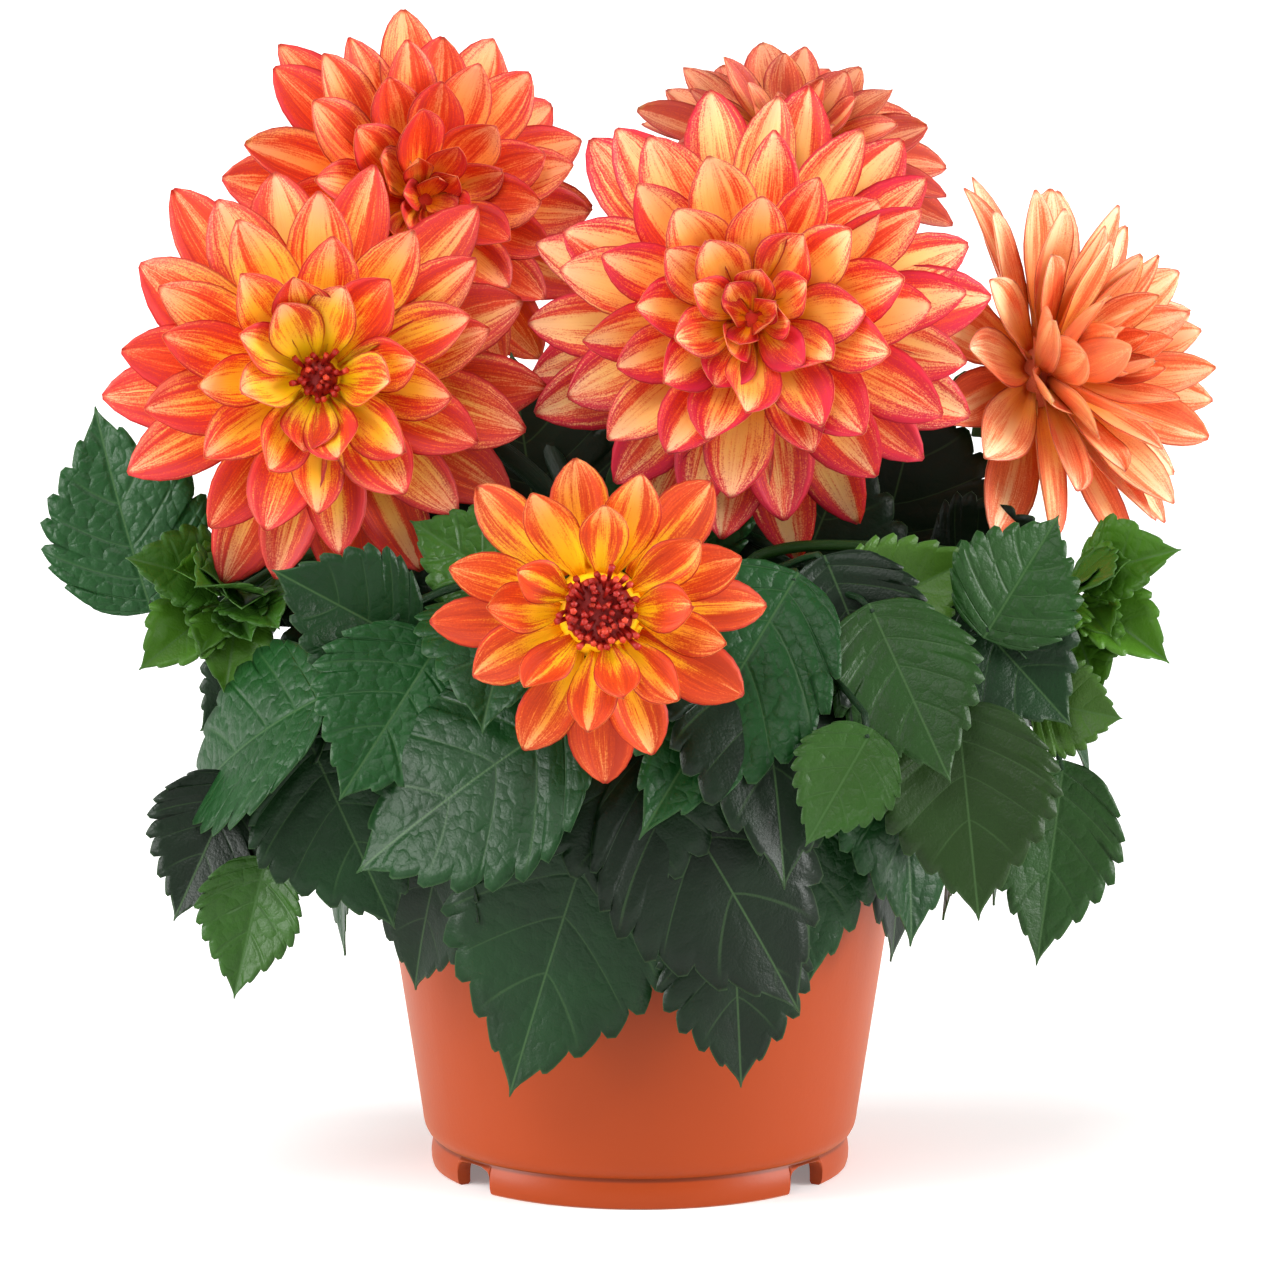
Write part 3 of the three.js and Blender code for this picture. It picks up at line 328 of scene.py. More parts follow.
def add_piece(name, parts, material, replaced, crease=None):
    """One object from parts, its mesh in metres at its own place, with smooth faces. It rides on
    the plant's body and stands for the replaced nodes. Edges sharper than crease stay sharp."""
    starts = np.cumsum([0] + [len(part["points"]) for part in parts])
    faces = [face + start for part, start in zip(parts, starts) for face in part["faces"]]
    corners = np.concatenate([face.ravel() for face in faces])
    sizes = np.concatenate([np.full(len(face), face.shape[1]) for face in faces])
    points = np.concatenate([part["points"] for part in parts]) * MM
    mesh = bpy.data.meshes.new(name)
    mesh.vertices.add(len(points))
    mesh.vertices.foreach_set("co", points.astype(np.float32).ravel())
    mesh.loops.add(len(corners))
    mesh.loops.foreach_set("vertex_index", corners.astype(np.int32))
    mesh.polygons.add(len(sizes))
    mesh.polygons.foreach_set("loop_start", (np.cumsum(sizes) - sizes).astype(np.int32))
    mesh.polygons.foreach_set("use_smooth", np.ones(len(sizes), bool))
    for key in [key for key in parts[0] if key not in ("points", "faces")]:
        value = np.concatenate([part[key] for part in parts]).astype(np.float32)
        if key == "uv":
            mesh.uv_layers.new(name="UVMap").data.foreach_set("uv", value[corners].ravel())
        else:
            mesh.attributes.new(key, "FLOAT", "POINT").data.foreach_set("value", value)
    mesh.update(calc_edges=True)
    if mesh.validate():
        raise RuntimeError(f"{name} has faces that had to be mended")
    if crease is not None:
        mesh.set_sharp_from_angle(angle=crease)
    mesh.materials.append(material)
    thing = bpy.data.objects.new(name, mesh)
    bpy.context.scene.collection.objects.link(thing)
    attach(thing, "root")
    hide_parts(*replaced)


# Materials

def new_material(name):
    """An empty material."""
    material = bpy.data.materials.new(name)
    material.use_nodes = True
    material.node_tree.nodes.clear()
    return material


def add_node(material, kind, *inputs, take=0, into=None, **settings):
    """Adds a node with its settings to a material. Its inputs are given in order, and others in
    into by name or number, each as a value or as another node's socket. Gives its output take."""
    made = material.node_tree.nodes.new("ShaderNode" + kind)
    for key, value in settings.items():
        setattr(made, key, value)
    for key, value in (*enumerate(inputs), *(into or {}).items()):
        if isinstance(value, bpy.types.NodeSocket):
            material.node_tree.links.new(value, made.inputs[key])
        else:
            made.inputs[key].default_value = value
    return made.outputs[take] if made.outputs else made


def paint(material, colour, layers):
    """Lays colours over a first one, each by its share, and gives the last mix."""
    for share, shade in layers:
        colour = add_node(material, "Mix", share, into={6: colour, 7: shade}, take=2, data_type="RGBA")
    return colour


def petal_material(name, base, ground, tip, streak, rim, line, heart, streaks, middle, rims, hearts):
    """Fresh ray petal: soft, thin and slightly see-through. The colour runs along the petal from
    base to ground to tip, and inner petals turn to the heart colour. The streak colour lies over
    it in soft, brushed bands about middle, from 0 at the midline to 1 at the edge, and deepens in
    their hearts to the line colour. The rim colour is breathed over the edges in specks, and the
    line colour is drawn thinly round the outline."""
    m = new_material(name)
    flat = add_node(m, "TexCoord", take="UV")
    across, along = (add_node(m, "SeparateXYZ", flat, take=axis) for axis in (0, 1))
    seed, share, flush, under = (add_node(m, "Attribute", take="Fac", attribute_name=key)
                                 for key in ("seed", "share", "flush", "under"))
    shift = add_node(m, "Math", seed, 37.0, operation="MULTIPLY")
    # noise with that many cells across the petal, drawn out along it
    lines = []
    for cells, stretch, detail in ((2.8, 0.8, 1.0), (15.0, 1.6, 3.0), (44.0, 3.4, 2.0)):
        x = add_node(m, "Math", across, cells, shift, operation="MULTIPLY_ADD")
        y = add_node(m, "Math", along, stretch, operation="MULTIPLY")
        spot = add_node(m, "CombineXYZ", x, y, shift)
        lines.append(add_node(m, "TexNoise", into={
            "Vector": spot, "Scale": 1.0, "Detail": detail, "Roughness": 0.65}))
    broad, fine, hatch = lines
    # pigment gathers in specks about 0.4 mm wide
    place = add_node(m, "TexCoord", take="Object")
    grain = add_node(m, "TexNoise", into={"Vector": place, "Scale": 2600.0, "Detail": 2.0})
    side = add_node(m, "Math", across, 0.5, operation="SUBTRACT")
    side = add_node(m, "Math", add_node(m, "Math", side, operation="ABSOLUTE"), 2.0, operation="MULTIPLY")
    ramps = [add_node(m, "MapRange", value, *limits, interpolation_type="SMOOTHSTEP") for value, *limits in (
        (along, 0.2, 0.7, 0.0, 1.0),
        (along, 0.6, 1.0, 0.0, 1.0),
        (side, middle - 0.4, middle, 0.0, 1.0),
        (side, middle + 0.15, middle + 0.5, 1.0, 0.35),
        (along, 0.18, 0.6, 0.0, 1.0),
        (share, 0.05, 0.75, 0.0, hearts),
        (side, 0.915, 0.975, 0.0, 0.95),
        (along, 0.95, 0.99, 0.0, 1.0),
        (along, 0.08, 0.4, 0.2, 0.9),
        (along, 0.25, 0.75, 0.1, rims))]
    off_base, to_tip, zone_in, zone_out, reach, inward, edge, point, edge_fade, blush_fade = ramps
    zone = add_node(m, "Math", zone_in, zone_out, operation="MULTIPLY")
    # bands and blush start below zero, so that only their strongest places show
    band = streaks - 2.4
    for value, weight in ((broad, 1.7), (fine, 1.3), (hatch, 1.0), (grain, 0.6), (zone, 0.3), (reach, 0.36),
                          (flush, 0.42), (inward, -0.15), (to_tip, -0.12)):
        band = add_node(m, "Math", value, weight, band, operation="MULTIPLY_ADD")
    deep = add_node(m, "MapRange", band, 0.75, 1.35, 0.0, 0.55, interpolation_type="SMOOTHSTEP")
    band = add_node(m, "MapRange", band, 0.26, 0.86, 0.0, 0.95, interpolation_type="SMOOTHSTEP")
    blush = -1.5
    for value, weight in ((side, 0.8), (fine, 0.6), (hatch, 0.8), (grain, 1.0), (to_tip, 0.25), (flush, 0.5)):
        blush = add_node(m, "Math", value, weight, blush, operation="MULTIPLY_ADD")
    blush = add_node(m, "MapRange", blush, 0.25, 0.9, interpolation_type="SMOOTHSTEP")
    outline = add_node(m, "Math", edge, point, operation="MAXIMUM")
    colour = paint(m, base, (
        (off_base, ground),
        (add_node(m, "Math", inward, off_base, operation="MULTIPLY"), heart),
        (to_tip, tip),
        (band, streak),
        (deep, line),
        (add_node(m, "Math", blush, blush_fade, operation="MULTIPLY"), rim),
        (add_node(m, "Math", outline, edge_fade, operation="MULTIPLY"), line),
        (add_node(m, "Math", under, 0.35, operation="MULTIPLY"), ground)))
    # lengthwise ridges, about 1 mm apart, on broad furrows
    ridges = add_node(m, "Math", broad, 2.5, fine, operation="MULTIPLY_ADD")
    bump = add_node(m, "Bump", 0.5, 0.0004, into={"Height": ridges})
    add_node(m, "OutputMaterial", add_node(m, "BsdfPrincipled", into={
        "Base Color": colour, "Roughness": 0.5, "Specular IOR Level": 0.2, "Normal": bump,
        "Subsurface Weight": 0.25, "Subsurface Scale": 0.003, "Subsurface Radius": (1.0, 0.35, 0.1)}))
    return m


def foliage_material(name, dark, light, vein, young):
    """Living leaf: a thin waxy skin over a quilted blade, with a soft gloss that is a little uneven.
    Veins and the cut edge are a little paler. A net of small veins, about 3 mm apart, lies sunk
    between the side veins and leaves the skin blistered."""
    m = new_material(name)
    seed, youth, rib, rim, phase, under = (add_node(m, "Attribute", take="Fac", attribute_name=key)
                                           for key in ("seed", "young", "rib", "rim", "phase", "under"))
    place = add_node(m, "TexCoord", take="Object")
    flat = add_node(m, "TexCoord", take="UV")
    # colour drifts over about 15 mm, and the skin is rough at about 0.6 mm
    drift = add_node(m, "TexNoise", into={"Vector": place, "Scale": 65.0, "Detail": 2.0})
    skin = add_node(m, "TexNoise", into={"Vector": flat, "Scale": 160.0, "Detail": 3.0})
    shade = add_node(m, "Math", seed, 0.85, add_node(m, "Math", drift, 0.35, operation="MULTIPLY"),
                     operation="MULTIPLY_ADD")
    # side veins run where the phase is a whole number and a half
    off = add_node(m, "Math", add_node(m, "Math", phase, operation="FRACT"), 0.5, operation="SUBTRACT")
    off = add_node(m, "Math", off, operation="ABSOLUTE")
    # blisters stand in cells about 3 mm wide, bent by noise of the same size
    bent = add_node(m, "TexNoise", into={"Vector": flat, "Scale": 30.0, "Detail": 1.0}, take=1)
    bent = add_node(m, "VectorMath", bent, (0.03, 0.03, 0.03), flat, operation="MULTIPLY_ADD")
    cells = add_node(m, "TexVoronoi", into={"Vector": bent, "Scale": 32.0}, voronoi_dimensions="2D")
    cells = add_node(m, "Math", cells, 2.0, operation="POWER")
    ramps = [add_node(m, "MapRange", value, *limits, interpolation_type="SMOOTHSTEP") for value, *limits in (
        (shade, 0.3, 1.05, 0.0, 1.0),
        (off, 0.006, 0.028, 1.0, 0.0),
        (rim, 0.0, 5.0, 0.0, 0.22),
        (rib, 0.1, 0.38, 0.42, 0.0),
        (rim, 0.05, 0.3, 0.25, 0.0),
        (off, 0.0, 0.1, 0.0, 1.0),
        (rib, 0.2, 1.6, 0.0, 1.0))]
    lightness, side_vein, fade, midrib, cut_edge, valley, beside_rib = ramps
    side_vein = add_node(m, "Math", side_vein, fade, operation="MULTIPLY")
    veins = add_node(m, "Math", side_vein, midrib, operation="MAXIMUM")
    veins = add_node(m, "Math", veins, cut_edge, operation="MAXIMUM")
    colour = paint(m, dark, (
        (lightness, light),
        (youth, young),
        (veins, vein),
        (add_node(m, "Math", under, 0.25, operation="MULTIPLY"), vein)))
    # some leaves are quilted more than others
    height = add_node(m, "Math", cells, -1.6, 1.0, operation="MULTIPLY_ADD")
    quilt = add_node(m, "MapRange", seed, 0.35, 1.0, 0.15, 1.0, interpolation_type="SMOOTHSTEP")
    height = add_node(m, "Math", height, quilt, operation="MULTIPLY")
    height = add_node(m, "Math", height, add_node(m, "Math", valley, beside_rib, operation="MULTIPLY"),
                      operation="MULTIPLY")
    height = add_node(m, "Math", skin, 0.25, height, operation="MULTIPLY_ADD")
    bump = add_node(m, "Bump", 0.5, 0.001, into={"Height": height})
    gloss = add_node(m, "Math", skin, 0.2, 0.3, operation="MULTIPLY_ADD")
    add_node(m, "OutputMaterial", add_node(m, "BsdfPrincipled", into={
        "Base Color": colour, "Roughness": gloss, "Specular IOR Level": 0.2, "Normal": bump}))
    return m


def floret_material(name, deep, light):
    """Tube floret: a moist, waxy dark tube with a paler mouth."""
    m = new_material(name)
    along = add_node(m, "SeparateXYZ", add_node(m, "TexCoord", take="UV"), take=1)
    seed = add_node(m, "Attribute", take="Fac", attribute_name="seed")
    mottle = add_node(m, "TexNoise", into={"Vector": add_node(m, "TexCoord", take="Object"), "Scale": 900.0})
    mouth, chance = (add_node(m, "MapRange", value, *limits, interpolation_type="SMOOTHSTEP")
                     for value, *limits in ((along, 0.7, 1.0, 0.0, 1.0), (seed, 0.5, 1.0, 0.05, 0.7)))
    share = add_node(m, "Math", mouth, chance, operation="MULTIPLY")
    share = add_node(m, "Math", mottle, 0.2, share, operation="MULTIPLY_ADD")
    bump = add_node(m, "Bump", 0.3, 0.0002, into={"Height": mottle})
    add_node(m, "OutputMaterial", add_node(m, "BsdfPrincipled", into={
        "Base Color": paint(m, deep, ((share, light),)), "Roughness": 0.45, "Specular IOR Level": 0.3,
        "Normal": bump, "Subsurface Weight": 0.1, "Subsurface Scale": 0.002}))
    return m


def plastic_material(name, wall, shade):
    """Injection-moulded polypropylene: a satin skin that gleams towards its outline, with a faint
    orange peel about 1 mm across and slow flow marks in the colour, and a thin dark line of
    painted shade in the groove over the foot ring."""
    m = new_material(name)
    place = add_node(m, "TexCoord", take="Object")
    flow = add_node(m, "TexNoise", into={"Vector": place, "Scale": 22.0, "Detail": 2.0})
    peel = add_node(m, "TexNoise", into={"Vector": place, "Scale": 900.0, "Detail": 2.0})
    # painted shade: a thin dark line within 0.8 mm of the groove's height over the foot ring
    height = add_node(m, "SeparateXYZ", place, take=2)
    off = add_node(m, "Math", height, FOOT_HEIGHT * MM, operation="SUBTRACT")
    off = add_node(m, "Math", off, operation="ABSOLUTE")
    seam_shade = add_node(m, "MapRange", off, 0.0002, 0.0008, 0.75, 0.0, interpolation_type="SMOOTHSTEP")
    colour = paint(m, wall, (
        (add_node(m, "Math", flow, 0.4, operation="MULTIPLY"), shade),
        (seam_shade, linear(SEAM_SHADE_COLOUR))))
    bump = add_node(m, "Bump", 0.12, 0.0002, into={"Height": peel})
    add_node(m, "OutputMaterial", add_node(m, "BsdfPrincipled", into={
        "Base Color": colour, "Roughness": 0.42, "Specular IOR Level": 0.22, "IOR": 1.49, "Normal": bump,
        "Sheen Weight": 0.3, "Sheen Roughness": 0.35, "Sheen Tint": (1.0, 0.42, 0.16, 1.0)}))
    return m


def soil_material(name, dark, light):
    """Peat compost: matt brown-black with paler fibres and crumbs of 1 to 3 mm."""
    m = new_material(name)
    place = add_node(m, "TexCoord", take="Object")
    crumbs = add_node(m, "TexNoise", into={"Vector": place, "Scale": 420.0, "Detail": 5.0, "Roughness": 0.7})
    paler = add_node(m, "MapRange", crumbs, 0.45, 0.75, interpolation_type="SMOOTHSTEP")
    bump = add_node(m, "Bump", 0.8, 0.001, into={"Height": crumbs})
    add_node(m, "OutputMaterial", add_node(m, "BsdfPrincipled", into={
        "Base Color": paint(m, dark, ((paler, light),)), "Roughness": 0.95, "Normal": bump}))
    return m


def floor_material(name):
    """Matt white card with a faint slow grain."""
    m = new_material(name)
    grain = add_node(m, "TexNoise", into={"Vector": add_node(m, "TexCoord", take="Object"), "Scale": 40.0})
    share = add_node(m, "Math", grain, 0.2, operation="MULTIPLY")
    card, grey = (linear(colour) for colour in CARD_COLOURS)
    colour = paint(m, card, ((share, grey),))
    # a little light of its own keeps it white under the leaves, as on a lit table
    add_node(m, "OutputMaterial", add_node(m, "BsdfPrincipled", into={
        "Base Color": colour, "Roughness": 0.9, "Emission Color": (1.0, 1.0, 1.0, 1.0),
        "Emission Strength": 0.2}))
    return m


# Flower heads

def petal_sheets(turn, opening, bend, root, length, width, cup, twist, sway, ruffle, thickness,
                 rows=11, columns=7):
    """Petals as thin sheets about +Z, one for each entry of the arrays. At v the centreline is
    v * length away from its root (radius, height), at an angle of opening + bend * (v / 2 - 1 / 4)
    off the axis. Across it a petal is a circular arc, closed most at the root: its half-angle is
    cup * (75, 42, 27, 30) degrees at v of 0, 0.25, 0.6 and 1. Its half-width rises from 0.3 as a
    sine to 1 at v = 0.58 and ends in a pointed arch, (1 - x^2.2)^0.85. A crease runs down the
    midline, the edges waver as sines of v, twist turns the arc about the centreline, and sway
    bends the tip sideways."""
    v = (1 - (1 - np.linspace(0, 1, rows)) ** 1.2) * 0.992
    u = np.linspace(-1, 1, columns)
    angle = np.radians(opening[:, None] + bend[:, None] * (v / 2 - 0.25))
    step = v * length[:, None]
    radius = root[:, :1] + step * np.sin(angle)
    height = root[:, 1:] + step * np.cos(angle)
    ahead = unit(np.stack([np.gradient(radius, axis=1), np.gradient(height, axis=1)], axis=-1))
    widest = 0.58
    rise = np.sin(np.pi / 2 * np.minimum(v / widest, 1)) ** 1.1
    arch = (1 - np.clip((v - widest) / (1 - widest), 0, 1) ** 2.2) ** 0.85
    half = width[:, None] / 2 * np.where(v < widest, 0.3 + 0.7 * rise, arch)
    bow = np.radians(cup[:, None] * np.interp(v, (0, 0.25, 0.6, 1), (75, 42, 27, 30)))
    swing = bow[..., None] * u
    reach = (half / bow)[..., None]
    lean = (twist[:, None] * v)[..., None]
    across = reach * np.sin(swing)
    crease = 0.055 * half[..., None] * np.exp(-(u / 0.2) ** 2) * (1 - v[:, None])
    spin = turn[:, None]
    waver = np.sin(8 * v + 5 * spin)[..., None] * np.sign(u) + np.sin(5 * v + 9 * spin)[..., None]
    lift = reach * (1 - np.cos(swing)) - crease + ruffle[:, None, None] * u**2 * v[:, None] * waver
    across, lift = spun(across, lift, lean)
    across = across + (sway[:, None] * v**2 * length[:, None])[..., None]

    def place(offset):
        up = lift + offset
        out = radius[..., None] - ahead[..., 1:] * up
        rise_to = height[..., None] + ahead[..., :1] * up
        return np.stack([*spun(out, across, spin[..., None]), rise_to], axis=-1)

    half_thick = (thickness / 2 * (1 - 0.55 * v))[None, :, None]
    uv = (np.broadcast_to(value, lift.shape) for value in ((u + 1) / 2, v[:, None]))
    return place(half_thick), place(-half_thick), *uv


def petal_part(head, thickness, disorder):
    """All petals of a head, in a spiral of golden angles from the outermost, which bends back, to
    the innermost. Openings, reach and width go straight with the share of the way in, and the
    share itself is the petal's number to a power, so that the spiral thins towards the centre.
    Where the head is closed, without a disc, its innermost petals are shorter, narrower and more
    flushed. Seeded draws, wider towards the centre, keep any two petals from being alike."""
    random = np.random.RandomState(head["seed"])
    count = head["petals"]
    share = np.linspace(0, 1, count) ** head["thinning"]
    closed = float(head["disc"] == 0)

    def draw(spread):
        return (random.rand(count) - 0.5) * 2 * spread * disorder

    inner = smooth(0.5, 1.0, share) * (0.45 + 0.55 * closed)
    opening = between(head["openings"][0], head["closed"], share) + draw(5) + draw(11) * inner
    shorter = 1 - 0.16 * smooth(0.7, 1, share) * closed
    reach = head["radius"] * between(head["spread"], head["inner"], share) * shorter * (0.975 + draw(0.045))
    rooted = np.radians(between(head["openings"][0], 5, share))
    core = head["radius"] * CORE_SHARE - ROOT_DEPTH
    root = core * np.stack([np.sin(rooted), np.cos(rooted)], axis=1)
    if head["disc"]:
        beside = head["disc"] * head["tuft"] + between(2.6, -0.4, share)
        root = np.stack([beside, between(-3, DISC_SEAT - 1.2, share)], axis=1)
    wide, narrow = head["widths"]
    top, bottom, across, along = petal_sheets(
        turn=np.arange(count) * GOLDEN_ANGLE + draw(0.12) + draw(0.3) * inner,
        opening=opening,
        bend=between(18, -34, share) + draw(12) + draw(24) * inner,
        root=root,
        length=reach - np.linalg.norm(root, axis=1),
        width=head["radius"] * between(wide, narrow, share) * shorter**2.4 * (1 + draw(0.12)),
        cup=between(0.95, 1.2, share) + draw(0.3),
        twist=draw(0.4) + draw(0.5) * inner,
        sway=draw(0.08),
        ruffle=np.abs(draw(0.55)),
        thickness=thickness,
    )
    # petals that hang down are flushed more deeply
    flush = 0.5 - 0.22 * np.sin(np.arange(count) * GOLDEN_ANGLE) + draw(0.28) + 0.35 * inner * closed
    seed = random.rand(count)[:, None, None]
    part = sheets(top, bottom, across, along, seed=seed, share=share[:, None, None],
                  flush=flush[:, None, None])
    part["points"] = turn_to(part["points"], head["facing"], head["seat"])
    return part


def core_brim(head):
    """Radius and height of the place where the receptacle's back meets its front."""
    if head["disc"]:
        return head["disc"] + DISC_BRIM, DISC_BRIM_HEIGHT
    return head["radius"] * CORE_SHARE * CORE_SHOULDER, -1


def core_part(head):
    """The receptacle that the petals stand out of: a closed turned body, as the model has it."""
    if head["disc"]:
        front = ((head["disc"] * head["tuft"], DISC_SEAT - 0.6), (1, DISC_SEAT))
    else:
        core = head["radius"] * CORE_SHARE
        front = ((core * 0.62, core * 0.62), (1, core * 0.84))
    profile = ((1, -CORE_BACK), (7.5, -CORE_BACK), core_brim(head), *front)
    radii = np.array([radius for radius, _ in profile], float)
    path = np.array([[(0, 0, height) for _, height in profile]], float)
    path[0, :, 2] += np.linspace(0, 0.01, len(profile))
    part = tubes(path, radii[None], 20, seed=0.5, share=0.6, flush=0.0 if head["disc"] else 2.5)
    part["uv"] = np.full((len(part["points"]), 2), (0.5, 0.12))
    part["points"] = turn_to(part["points"], head["facing"], head["seat"])
    return part


def disc_part(head):
    """Tube florets of an open disc, on a low dome. Each is a five-sided tube of four rings that
    widens to its mouth, leans away from the middle and swerves with the square of its height.
    They stand in a golden spiral, the outer ones are taller, and every draw is seeded."""
    random = np.random.RandomState(head["seed"] + 1)
    radius = head["disc"] * head["tuft"]
    count = int(1.15 * radius * radius)
    share = np.sqrt((np.arange(count) + 0.5) / count)
    turn = np.arange(count) * GOLDEN_ANGLE
    lean = 0.05 + 0.28 * share + (random.rand(count) - 0.5) * 0.5
    out = np.stack([np.cos(turn), np.sin(turn)], axis=1)
    foot = np.concatenate([out * (share * (radius - 0.7))[:, None],
                           (DISC_SEAT + 2.6 - 2.2 * share**2)[:, None]], axis=1)
    way = np.concatenate([out * np.sin(lean)[:, None], np.cos(lean)[:, None]], axis=1)
    tall = between(2.4, 4.8, smooth(0.1, 0.8, share)) * (0.75 + 0.5 * random.rand(count))
    rows = np.array([0, 0.4, 0.8, 1.0])
    path = foot[:, None] + way[:, None] * (tall[:, None] * rows)[..., None]
    swerve = np.stack([np.sin(turn * 7), np.cos(turn * 5), 0 * turn], axis=1)
    path = path + (rows**2)[None, :, None] * (1.2 * swerve)[:, None]
    thick = between(0.42, 0.66, share)[:, None] * np.array([0.7, 0.85, 1.1, 1.3])
    florets = tubes(path, thick, 5, seed=random.rand(count)[:, None, None])
    dome_heights = DISC_SEAT + np.array([-1.0, 1.2, 2.2, 3.0])
    dome = tubes(np.stack([np.zeros(4), np.zeros(4), dome_heights], axis=1)[None],
                 np.array([[radius - 0.3, radius - 0.5, radius * 0.7, 0.8]]), 16, seed=0.0)
    dome["uv"] = np.zeros((len(dome["points"]), 2))
    for part in (florets, dome):
        part["points"] = turn_to(part["points"], head["facing"], head["seat"])
    return [florets, dome]


# Leaves, stems and shoots

def layer_table(points):
    """The arc, radius, height and slope of a layer's curve at close places."""
    curve = spline(points, 80, power=0, clamped=True)
    arc = np.concatenate([[0], np.cumsum(np.linalg.norm(np.diff(curve, axis=0), axis=1))])
    slope = unit(np.gradient(curve, axis=0))
    return arc, curve[:, 0], curve[:, 1], slope[:, 0], slope[:, 1]


LAYER_TABLES = [layer_table(points) for points in LAYERS]


def on_layer(layer, azimuth, arc, side, lift):
    """Points of a layer: arc from the stems, side round the axis at the layer's own radius, and
    lift square to it."""
    arcs, radii, heights, out, up = LAYER_TABLES[layer]
    radius, height, out, up = (np.interp(arc, arcs, table) for table in (radii, heights, out, up))
    turn = np.radians(azimuth) + side / np.maximum(radius, 30)
    radius, height = radius - up * lift, height + out * lift
    return np.stack([radius * np.cos(turn), radius * np.sin(turn), height], axis=-1)


def leaf_part(place, length, width, random, young=0.0, teeth=8, columns=13, crinkle=1.0):
    """A toothed blade as a thin sheet. Each row sweeps forward as a side vein does: it leaves the
    midrib at t = a^2.1, meets the edge at a, both from 0 to 1, and goes between them with
    |u|^1.25. The half-width at a is sin(pi a^0.72)^(0.7 + 0.7 a), less the notches: between two
    notches the edge swells in a rounded shoulder, phase^0.6, to a blunt forward point and falls
    back from it. A long plain tip follows the last tooth. The blade is folded up from its midrib
    and a little turned, its two halves wave, and the fields between the side veins, two for three
    teeth, bulge as a cosine."""
    steps = np.array([0, 0.14, 0.34, 0.58, 0.78, 0.9])
    phase = np.concatenate([(np.arange(teeth)[:, None] + steps).ravel(), [teeth]])
    power = 0.9 + random.uniform(-0.06, 0.08)
    a = 0.86 * (phase / teeth) ** power
    a = np.concatenate([a, [0.9, 0.94, 0.97, 1.0]])
    t = a**2.1
    phase = np.concatenate([phase, teeth + np.array([0.25, 0.5, 0.75, 1.0])])
    u = np.linspace(-1, 1, columns)
    side = np.abs(u)
    body = np.sin(np.pi * np.clip(a, 0, 0.9995) ** 0.72) ** (0.7 + 0.7 * a)
    part_way = phase % 1
    top_at = 0.78
    shoulder = np.where(part_way < top_at, (part_way / top_at) ** 0.6, ((1 - part_way) / (1 - top_at)) ** 0.8)
    uneven = 0.75 + 0.5 * random.rand(teeth + 2)[phase.astype(int)]
    toothed = uneven * smooth(0.06, 0.2, a) * (1 - smooth(0.8, 0.93, a))
    half = np.maximum(width / 2 * body * (1 - 0.15 * toothed * (1 - shoulder)), 0.1)
    point = np.clip((part_way - 0.2) / (top_at - 0.2), 0, 1) * (part_way < 0.95)
    forward = 0.03 * length * (toothed * point)[:, None] * side**6
    along = length * between(t[:, None], a[:, None], side**1.25) + forward
    along = np.minimum(along, length * (0.97 + 0.03 * a[:, None]))
    across = u * half[:, None]
    fold = 3.2 + random.uniform(-1.8, 2.2)
    share = half[:, None] / (width / 2)
    phase = 0.66 * phase
    crinkle = crinkle * width / 50
    bulge = (0.5 + 0.5 * np.cos(2 * np.pi * phase))[:, None] * np.sin(np.pi * side**0.8) ** 0.7
    lift = fold * side**1.3 * share + random.uniform(0.2, 0.6) * crinkle * bulge * share
    for swing in (5, 9):
        start = random.uniform(0, 6.3, 2)
        waves = np.sin(swing * a[:, None] + np.where(u < 0, *start))
        lift = lift + 8 / swing * crinkle * waves * side**2 * share
    lift = lift + random.uniform(-4, 4) * u * a[:, None] * share - random.uniform(0, 4) * a[:, None] ** 3
    thick = 0.3 * (1 - 0.5 * side) * np.ones_like(along)
    top, bottom = (place(along, across, lift + offset)[None] for offset in (thick, -thick))
    return sheets(top, bottom, (across / 100 + 0.5)[None], (along / 100)[None], seed=random.rand(),
                  young=young, rib=(side * half[:, None])[None], rim=((1 - side) * half[:, None])[None],
                  phase=np.broadcast_to(phase[:, None], along.shape)[None])


def plain_tube(path, radii, sides, young=0.0, seed=0.5):
    """A stem or stalk as a tube, with the values of a leaf's plain skin."""
    return tubes(path[None], radii, sides, seed=seed, young=young, rib=3.0, rim=9.0, phase=0.0)


def stalk_part(points, young=0.0):
    """A leaf stalk through the given points, a little thicker where it leaves the stem."""
    path = spaced(spline(points, 8), 14)
    return plain_tube(path, np.linspace(STALK_RADIUS, STALK_RADIUS * 0.6, 14), 6, young)


def make_stem(plan):
    """A stem's curve, straight in its soil hole and then through its places to the back of its
    head, at even places along it."""
    way = unit(np.array(plan["facing"], float))
    collar = np.array([*plan["foot"], SOIL_TOP + COLLAR_HEIGHT], float)
    sunk = collar - (0, 0, 3)
    back = np.array(plan["seat"], float) - way * (CORE_BACK + CALYX_DEPTH / 2)
    curve = spline([sunk, collar, *plan["via"], back], 24)
    return spaced(curve, STEM_PLACES)


def at_height(stem, height):
    """The first place of a stem that is as high as asked, or else its end."""
    reached = np.nonzero(stem[:, 2] >= height)[0]
    return stem[reached[0] if len(reached) else -1]


def stem_part(plan, stem, radius, young=0.0):
    """The stem's tube from inside the soil to the back of its head."""
    foot = np.array([[*plan["foot"], SOIL_TOP - STEM_DEPTH + 1], [*plan["foot"], SOIL_TOP]], float)
    path = spaced(np.vstack([foot, stem[2:]]), STEM_RINGS)
    return plain_tube(path, radius, 10, young, 0.3)


